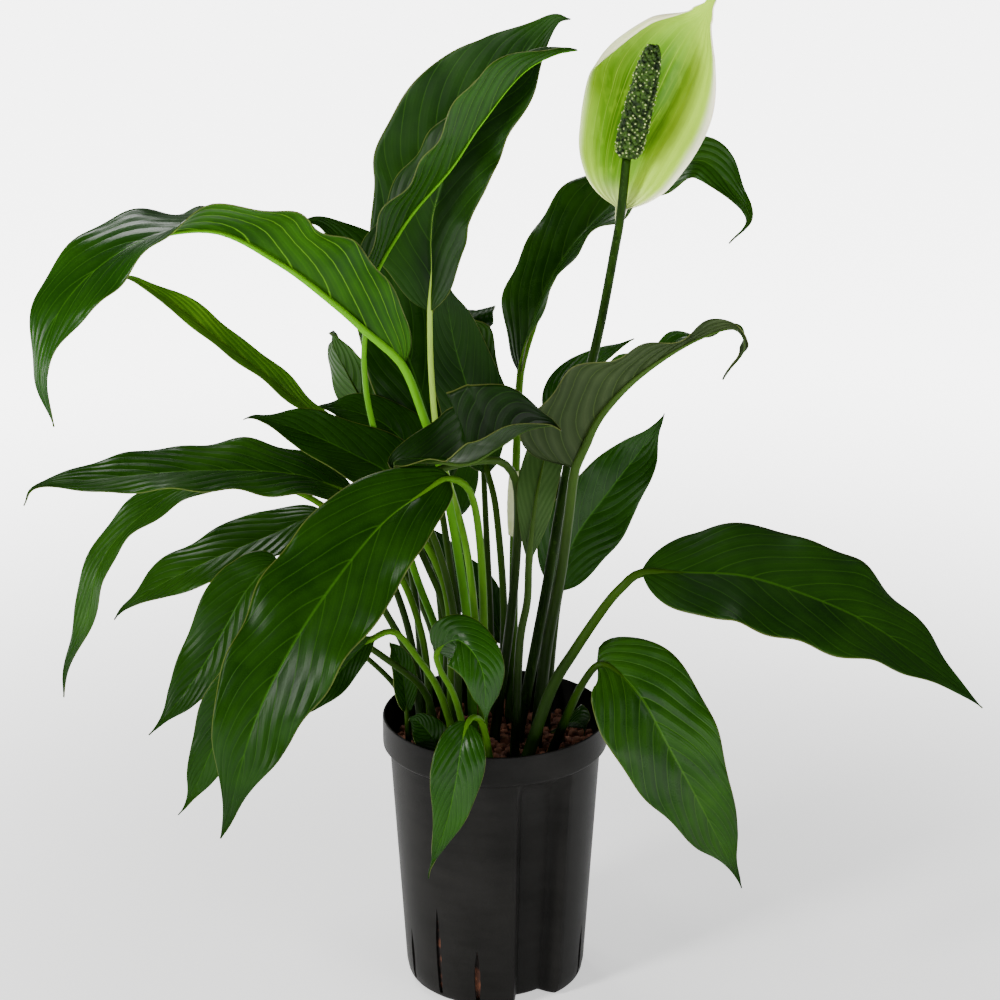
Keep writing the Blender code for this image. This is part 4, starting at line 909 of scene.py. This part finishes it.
def behindStalk(z, gap):  # a point just behind the stalk at this height
    centres = stalkLine(160)
    at = min(range(len(centres) - 1), key=lambda i: abs(centres[i].z - z))
    back = frameAt((centres[at + 1] - centres[at]).normalized(), Vector((0, 1, 0)))[1]
    return centres[at] + back * (stalkRadius(z) + gap)


def makeSpathe(s, looks):
    spine = [tuple(behindStalk(*spot)) for spot in s["behind"]] + s["spine"]
    rows = s["along"]
    centres = evenLine(spine, 0, 1, rows)[0]
    frames = framesAlong(centres, [mixList(s["facing"], i / rows) for i in range(rows + 1)])
    sheet = addGrid(s["across"], rows)
    for vert, row, t, x, sign in halfPoints(sheet, rows):
        face, side = frames[row][1:]
        spread = (t - s["tail"]) / (1 - s["tail"])
        half = max(s["half"] * outlineShare(spread, *s["outline"]),
                   s["tailHalf"] + s["tailGrow"] * min(t / s["tail"], 1.0))
        half = max(half, s["tipHalf"] * min((1 - t) / 0.07, 1.0) * clamp((t - 0.7) / 0.2))
        flat = min(x, s["rollFrom"]) if sign < 0 else x
        lip = ease(clamp((t - s["lipStart"]) / s["lipRise"]) * clamp((s["lipEnd"] - t) / s["lipFall"]))
        if sign < 0:
            half *= 1 + s["lipGrow"] * lip
        place = centres[row] + foldOut(side, face, sign, flat, half, s["fold"], s["curl"])
        if x > flat:  # the upper left margin rolls in over the sheet
            turn = math.radians(max(s["roll"] * lip, s["leastRoll"]))
            lean = math.radians(s["fold"] + s["curl"] * flat)
            out = side * -math.cos(lean) + face * math.sin(lean)
            up = side * math.sin(lean) + face * math.cos(lean)
            bend = turn * (x - flat) / (1 - flat)
            radius = half * (1 - flat) / turn
            place = place + out * (radius * math.sin(bend)) + up * (radius * (1 - math.cos(bend)))
        wave = s["wave"] * math.sin(t * s["waveRate"] + sign * 0.8) * x ** 3 * math.sin(math.pi * t)
        rib = s["rib"] * math.cos(x * s["ribRate"]) * min(half / 20, 1)
        vert.co = (place + face * (wave + rib)) * mm
    paint(sheet, looks["spatheInside"], looks["spatheOutside"])
    thicken(sheet, s["thickness"], 0)
    sheet = joinAll([sheet], "spathe-sheet")
    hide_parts("spathe")
    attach(sheet, "root")


def coreRadius(profile, share):
    for (lowShare, low), (highShare, high) in zip(profile, profile[1:]):
        if lowShare <= share <= highShare:
            return low + (high - low) * (share - lowShare) / (highShare - lowShare)
    return profile[-1][1]


def makeBall(segments, rings, size, height, flat, look):
    onlySelect()
    bpy.ops.mesh.primitive_uv_sphere_add(segments=segments, ring_count=rings, radius=size,
                                         location=(0, 0, height))
    ball = bpy.context.active_object
    ball.scale = (1.0, 1.0, flat)
    settle(ball)
    paint(ball, look)
    smoothAll(ball)
    return ball


def makeSpadix(s, looks):
    axis = Vector(s["axis"]).normalized()
    base = Vector(stalkSettings["points"][-1]) + axis * s["foot"]
    side = axis.cross(Vector((0, -1, 0))).normalized()
    front = side.cross(axis).normalized()
    shares = [s["end"] * (1 - math.cos(math.pi * i / s["rows"])) / 2 for i in range(s["rows"] + 1)]
    centres = [base + axis * (s["length"] * share) for share in shares]
    radii = [coreRadius(s["profile"], share) for share in shares]
    core = makeTube(centres, [(axis, front, side)] * len(centres), radii, s["sides"])
    paint(core, looks["spadixGreen"])

    # one floret is a dome with a pale knob, partly the floret's own pale tip and partly a painted
    # highlight, and one is plain; the rest are copies
    dome = makeBall(8, 5, 1.0, 0, s["floretFlat"], looks["spadixGreen"])
    plain = copyOf(dome)
    floret = joinAll([dome, makeBall(6, 4, s["knobSize"], s["knobHeight"], 1.0, looks["floretPaleTipSheen"])],
                     "floret")
    pieces = [core]
    dice = random.Random(s["seed"])
    for i in range(s["florets"]):
        share = 0.025 + 0.95 * (i + dice.uniform(0.0, 1.0)) / s["florets"]
        turn = math.radians(s["turn"]) * i + dice.uniform(-0.2, 0.2)
        outward = side * math.cos(turn) + front * math.sin(turn)
        if share > 0.9:  # the florets of the tip lean up
            outward = (outward + axis * (share - 0.9) * 9).normalized()
        spot = base + axis * (s["length"] * share) + outward * coreRadius(s["profile"], share)
        size = s["floretSize"] * (0.86 if share > 0.85 else 1.0) * dice.uniform(0.70, 1.12)
        copy = copyOf(plain if dice.random() < 0.15 + 0.45 * share else floret)
        copy.rotation_euler = outward.to_track_quat("Z", "X").to_euler()
        copy.location = spot * mm
        copy.scale = (size * mm,) * 3
        pieces.append(copy)
    removeAll(floret, plain)
    settle(*pieces)
    spadix = joinAll(pieces, "spadix-spike")
    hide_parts("spadix")
    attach(spadix, "root")


# looks of the flower
flowerColours = {
    "heart": (0.027, 0.100, 0.0006), "body": (0.098, 0.250, 0.003), "outer": (0.32, 0.53, 0.020),
    "rib": (0.34, 0.55, 0.03), "mottle": (0.28, 0.50, 0.02), "vein": (0.46, 0.64, 0.05),
    "foot": (0.66, 0.74, 0.28), "edge": (0.80, 0.82, 0.55), "blush": (0.82, 0.64, 0.54),
    "backPale": (0.78, 0.80, 0.46), "backRib": (0.58, 0.70, 0.24), "backFoot": (0.30, 0.50, 0.08),
    "backTip": (0.82, 0.62, 0.50),
    "sheathLow": (0.50, 0.58, 0.26), "sheathHigh": (0.62, 0.66, 0.38),
    "stalkLow": (0.0042, 0.0135, 0.0007), "stalkHigh": (0.009, 0.027, 0.0012),
    "stalkSpeck": (0.025, 0.055, 0.008),
    "spadixLow": (0.0030, 0.009, 0.0008), "spadixHigh": (0.028, 0.066, 0.006),
    # the pale knob colour is partly the florets' own pale tips and partly painted highlight
    "knobLow": (0.05, 0.10, 0.02), "knobHigh": (0.40, 0.46, 0.18),
}


def makeSpatheInside(c):
    look = Look("spatheInside")
    u, v = look.uv()
    x = abs(u * 2 - 1)
    cloud = look.noise(40.0, 3.0)
    # vivid around the spike, paler outwards, with fine veins from the stalk to the tip
    ribs = look.ribs(u * 46, v * 2.6)
    acrossHeart = (u - 0.36) * 2.5
    alongHeart = (v - 0.46) * 1.9
    far = (acrossHeart * acrossHeart + alongHeart * alongHeart) ** 0.5 + (cloud - 0.5) * 0.3
    colour = look.mix(far.step(0.10, 0.70), c["heart"], c["body"])
    colour = look.mix(far.step(0.45, 1.00), colour, c["outer"])
    colour = look.mix(ribs.step(0.45, 0.75) * 0.20, colour, c["rib"])
    mottle = look.streaks((170, 170, 70), 3.0)
    colour = look.mix(mottle.step(0.50, 0.72) * 0.30, colour, c["mottle"])
    wander = look.noise(14.0, 1.0)
    lines = 1 - abs((x * 8 + (wander - 0.5) * 1.6).math("FRACT") * 2 - 1)
    line = lines.step(0.0, 0.10, 1.0, 0.0)
    colour = look.mix(line * 0.30, colour, c["vein"])
    colour = look.mix(v.step(0.08, 0.24, 1.0, 0.0) * 0.7, colour, c["foot"])
    edge = (x + (cloud - 0.5) * 0.10 + (u - 0.5) * 0.16).step(0.80, 1.04)
    colour = look.mix(edge, colour, c["edge"])
    blush = (x + (v - 0.75) * 0.2).step(0.90, 1.0) * cloud.step(0.35, 0.65)
    colour = look.mix(blush * 0.5, colour, c["blush"])
    return look.finish(colour, 0.40 + (cloud - 0.5) * 0.15, ribs * 0.5 + line * 0.3, 0.0003, 0.06)


def makeSpatheOutside(c):
    look = Look("spatheOutside")
    u, v = look.uv()
    cloud = look.noise(40.0, 3.0)
    ribs = look.ribs(u * 42, v * 3.0)
    colour = look.mix(ribs.step(0.35, 0.7), c["backPale"], c["backRib"])
    colour = look.mix(v.step(0.1, 0.4, 1.0, 0.0), colour, c["backFoot"])
    colour = look.mix(v.step(0.72, 0.98) * 0.5, colour, c["backTip"])
    return look.finish(colour, 0.5 + (cloud - 0.5) * 0.15, ribs, 0.0004, 0.2)


def makeFlowerStalkLook(c):
    look = Look("flowerStalk")
    streak = look.streaks((260, 260, 9))
    speck = look.noise(380.0, 1.0)
    colour = look.mix(streak.step(0.3, 0.7), c["stalkLow"], c["stalkHigh"])
    colour = look.mix(speck.step(0.62, 0.7) * 0.35, colour, c["stalkSpeck"])
    return look.finish(colour, 0.46 + (streak - 0.5) * 0.2, streak, 0.0003, 0.03)


def makeCloudLook(name, scale, span, low, high, depth, gloss):  # two colours in soft patches
    look = Look(name)
    cloud = look.streaks(scale) if isinstance(scale, tuple) else look.noise(scale)
    return look.finish(look.mix(cloud.step(*span), low, high), 0.6, cloud, depth, gloss)


def flowerLooks(c):
    return {
        "spatheInside": makeSpatheInside(c),
        "spatheOutside": makeSpatheOutside(c),
        "flowerStalk": makeFlowerStalkLook(c),
        "sheathCream": makeCloudLook("sheathCream", (400, 400, 20), (0.3, 0.7), c["sheathLow"],
                                     c["sheathHigh"], 0.0002, 0.1),
        "spadixGreen": makeCloudLook("spadixGreen", 320.0, (0.35, 0.7), c["spadixLow"],
                                     c["spadixHigh"], 0.0004, 0.12),
        "floretPaleTipSheen": makeCloudLook("floretPaleTipSheen", 600.0, (0.3, 0.7), c["knobLow"],
                                     c["knobHigh"], 0.0002, 0.15),
    }


# pot and granules
potSettings = {
    "segments": 240, "wall": 1.8, "smooth": 40,
    "lowRadius": 60.4, "widens": 10.0, "lowHeight": 4, "taperHeight": 163,
    "rows": [10] + [16 + 9 * i for i in range(17)],  # heights of the rings of the tapered wall
    # profile points (radius, height) below and above it, outside and then inside
    "foot": [(53.5, 0.0), (57.0, 0.9), (58.9, 2.4), (59.6, 4.0)], "shoulder": [165, 167],
    "rim": [(71.4, 167.6), (74.3, 169.8), (74.85, 170.5), (75.0, 171.6), (75.0, 188.8), (74.7, 189.7),
            (74.1, 190.0), (73.7, 190.0), (73.35, 189.6), (73.2, 188.8), (73.2, 172.5)],
    "ledge": 166, "ledgeInset": 1.6, "ledgeHeight": 166.5,
    "inside": [(57.0, 3.6), (54.0, 2.2)],
    "flute": (-61.5, 17.0, 6.5, 12.0),  # direction, half width and ramp in degrees, depth
    "fluteTop": 169.0, "fluteFade": 12.0, "fluteLeast": 35,  # top, fading height, least radius
    "slotWidth": 4.0, "slotFoot": 5, "slotRadius": 60, "slotDepth": 28, "slotCuts": 5,
    # direction in degrees and upper end of each slot
    "slots": [(-101, 44), (-127, 70), (-154, 43), (-181, 68), (-208, 43), (-235, 68),
              (-262, 43), (-289, 68), (-316, 43), (-21, 43)],
}
bedSettings = {
    "foot": [(53.0, 2.8), (55.8, 4.2)], "gap": 2.5, "shoulder": 164,
    "edgeInset": 3.4, "edgeHeight": 166.6, "top": [(50, 166.4), (30, 166.8), (8, 166.5)],
}
granuleSettings = {
    "top": 167.0, "reach": 69.0, "size": (2.6, 4.6), "count": 420, "tries": 9000, "seed": 11,
    "wallGap": 2.2, "stemShare": 0.8, "apart": 0.72, "sunk": (0.1, 0.55), "stretch": (0.85, 1.05),
}


def bodyRadius(z):
    s = potSettings
    return s["lowRadius"] + s["widens"] * (z - s["lowHeight"]) / s["taperHeight"]


def flutePush(angle, z):  # how far the wall is pressed in
    direction, halfWidth, ramp, depth = potSettings["flute"]
    off = abs((math.degrees(angle) - direction + 180) % 360 - 180)
    rise = clamp((potSettings["fluteTop"] - z) / potSettings["fluteFade"])
    return depth * ease(clamp((halfWidth - off) / ramp)) * rise


def pressFlute(thing):
    for vert in thing.data.vertices:
        radius = math.hypot(vert.co.x, vert.co.y) / mm
        if radius > potSettings["fluteLeast"]:
            push = flutePush(math.atan2(vert.co.y, vert.co.x), vert.co.z / mm)
            vert.co.x *= (radius - push) / radius
            vert.co.y *= (radius - push) / radius


def makeSlotCutter(s, direction, top):
    foot = s["slotFoot"]
    onlySelect()
    bpy.ops.mesh.primitive_cube_add(size=1, location=(s["slotRadius"] * mm, 0, (foot + top) / 2 * mm),
                                    scale=(s["slotDepth"] * mm, s["slotWidth"] * mm, (top - foot) * mm))
    cutter = bpy.context.active_object
    settle(cutter)
    startEdit(cutter)
    bpy.ops.mesh.subdivide(number_cuts=s["slotCuts"])
    bpy.ops.object.mode_set(mode="OBJECT")
    for vert in cutter.data.vertices:  # pointed above, a little narrower below
        share = (vert.co.z / mm - foot) / (top - foot)
        vert.co.y *= min(1.0, (1 - share) * 2.6 + 0.05) * min(1.0, 0.6 + share * 1.2)
    cutter.rotation_euler = (0, 0, math.radians(direction))
    settle(cutter)
    return cutter


def makePot(s, looks):
    profile = s["foot"] + [(bodyRadius(z), z) for z in s["rows"] + s["shoulder"]] + s["rim"]
    profile += [(bodyRadius(s["ledge"]) - s["ledgeInset"], s["ledgeHeight"])]
    profile += [(bodyRadius(z) - s["wall"], z) for z in reversed(s["rows"])] + s["inside"]
    pot = makeTurned(profile, s["segments"])
    pressFlute(pot)
    cutter = joinAll([makeSlotCutter(s, *slot) for slot in s["slots"]], "slotCutter")
    cut = pot.modifiers.new("slots", "BOOLEAN")
    cut.operation = "DIFFERENCE"
    cut.object = cutter
    cut.solver = "EXACT"
    applyModifiers(pot)
    removeAll(cutter)
    onlySelect(pot)
    bpy.ops.object.shade_smooth_by_angle(angle=math.radians(s["smooth"]))
    pot.data.materials.clear()
    paint(pot, looks["potPlastic"])
    pot = joinAll([pot], "pot-body")
    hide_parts("pot")
    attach(pot, "root")


def makeBed(s, looks):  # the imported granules, a little clear of the wall
    rows = potSettings["rows"] + [s["shoulder"]]
    profile = s["foot"] + [(bodyRadius(z) - s["gap"], z) for z in rows]
    profile += [(bodyRadius(potSettings["ledge"]) - s["edgeInset"], s["edgeHeight"])] + s["top"]
    bed = makeTurned(profile, potSettings["segments"])
    pressFlute(bed)
    paint(bed, looks["clayBed"])
    bed = joinAll([bed], "granule-bed")
    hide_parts("clay_granules")
    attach(bed, "root")


def makeGranules(s, looks, feet):
    dice = random.Random(s["seed"])
    onlySelect()
    bpy.ops.mesh.primitive_ico_sphere_add(subdivisions=2, radius=1.0)
    model = bpy.context.active_object
    places = []
    pieces = []
    for attempt in range(s["tries"]):
        if len(places) >= s["count"]:
            break
        radius = s["reach"] * math.sqrt(dice.random())
        turn = dice.uniform(0, 2 * math.pi)
        size = dice.uniform(*s["size"])
        x, y = radius * math.cos(turn), radius * math.sin(turn)
        if radius + size > bodyRadius(s["top"]) - flutePush(turn, s["top"] - 8) - s["wallGap"]:
            continue
        if any(math.hypot(x - fx, y - fy) < fr + size * s["stemShare"] for fx, fy, fr in feet):
            continue
        if any(math.hypot(x - px, y - py) < (size + ps) * s["apart"] for px, py, ps in places):
            continue
        places.append((x, y, size))
        copy = copyOf(model)
        for vert in copy.data.vertices:  # each one lumpy in its own way
            lump = 1 + 0.10 * math.sin(vert.co.x * 5 + size * 9) + 0.09 * math.sin(vert.co.y * 6 + x)
            vert.co *= lump * (1 + 0.07 * math.sin(vert.co.z * 7 + y))
        copy.location = (x * mm, y * mm, (s["top"] + size * dice.uniform(*s["sunk"])) * mm)
        copy.rotation_euler = [dice.uniform(0, 6) for i in range(3)]
        copy.scale = [size * mm * dice.uniform(*s["stretch"]) for i in range(3)]
        pieces.append(copy)
    removeAll(model)
    settle(*pieces)
    granules = joinAll(pieces, "loose-granules")
    smoothAll(granules)
    paint(granules, looks["clay"])
    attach(granules, "root")


potColours = {
    "plasticDark": (0.0070, 0.0068, 0.0062), "plasticLight": (0.0120, 0.0116, 0.0108),
    "clayDark": (0.075, 0.022, 0.010), "clayLight": (0.19, 0.068, 0.032), "pore": (0.035, 0.013, 0.007),
    "bedDark": (0.060, 0.018, 0.008), "bedLight": (0.16, 0.055, 0.025), "bedGapShade": (0.006, 0.003, 0.002),
}


def makePlastic(c):
    look = Look("potPlastic")
    cloud = look.noise(22.0, 3.0)
    grain = look.noise(1400.0, 2.0)
    scuff = look.streaks((30, 30, 140))
    colour = look.mix((cloud * 0.7 + scuff * 0.3).step(0.3, 0.7), c["plasticDark"], c["plasticLight"])
    rough = 0.44 + (cloud - 0.5) * 0.16 + (scuff - 0.5) * 0.06
    return look.finish(colour, rough, grain * 0.5 + cloud * 0.5, 0.0002, 0.045)


def makeClay(name, c):
    look = Look(name)
    cloud = look.noise(150.0, 3.0)
    pores = look.noise(1500.0, 3.0, None, 0.7)
    if name == "clay":
        colour = look.mix(cloud.step(0.3, 0.7), c["clayDark"], c["clayLight"])
        colour = look.mix(pores.step(0.55, 0.7) * 0.6, colour, c["pore"])
        return look.finish(colour, 0.92, pores * 0.7 + cloud * 0.3, 0.0006)
    cells = look.node("ShaderNodeTexVoronoi", {"feature": "SMOOTH_F1"},
                      {"Vector": look.place(), "Scale": 140.0}, "Distance")
    colour = look.mix(cloud.step(0.3, 0.7), c["bedDark"], c["bedLight"])
    # near-black between the cells: painted shade in the gaps between the granules
    colour = look.mix(cells.step(0.30, 0.52), colour, c["bedGapShade"])
    return look.finish(colour, 0.95, (1 - cells) * 0.8 + pores * 0.2, 0.004)


# the whole plant
makeCamera(cameraSettings)
for lightName, lightFacts in lightSettings.items():
    makeLight(lightName, *lightFacts)
makeWorld(worldSettings)
floor = makeFloor(floorSettings)
print("camera, light and floor made")

looks = {name: makeBladeLook(name, facts, veinSettings) for name, facts in bladeLooks.items()}
looks.update({name: makeStemLook(name, *facts) for name, facts in stemLooks.items()})
looks.update(flowerLooks(flowerColours))
looks.update({"potPlastic": makePlastic(potColours), "clay": makeClay("clay", potColours),
              "clayBed": makeClay("clayBed", potColours)})
print("materials made:", len(looks))

for leafName, leafFacts in leafSettings.items():
    makeLeaf(leafName, leafDefaults | leafFacts, looks)
print("leaves made:", len(leafSettings))

makeStalk(stalkSettings, looks)
makeSpathe(spatheSettings, looks)
makeSpadix(spadixSettings, looks)
print("flower made")

makePot(potSettings, looks)
makeBed(bedSettings, looks)
feet = [(*s["stem"][0], s["radii"][0]) for s in leafSettings.values()]
makeGranules(granuleSettings, looks, feet + [(*stalkSettings["points"][0], stalkSettings["low"])])
print("pot and granules made")
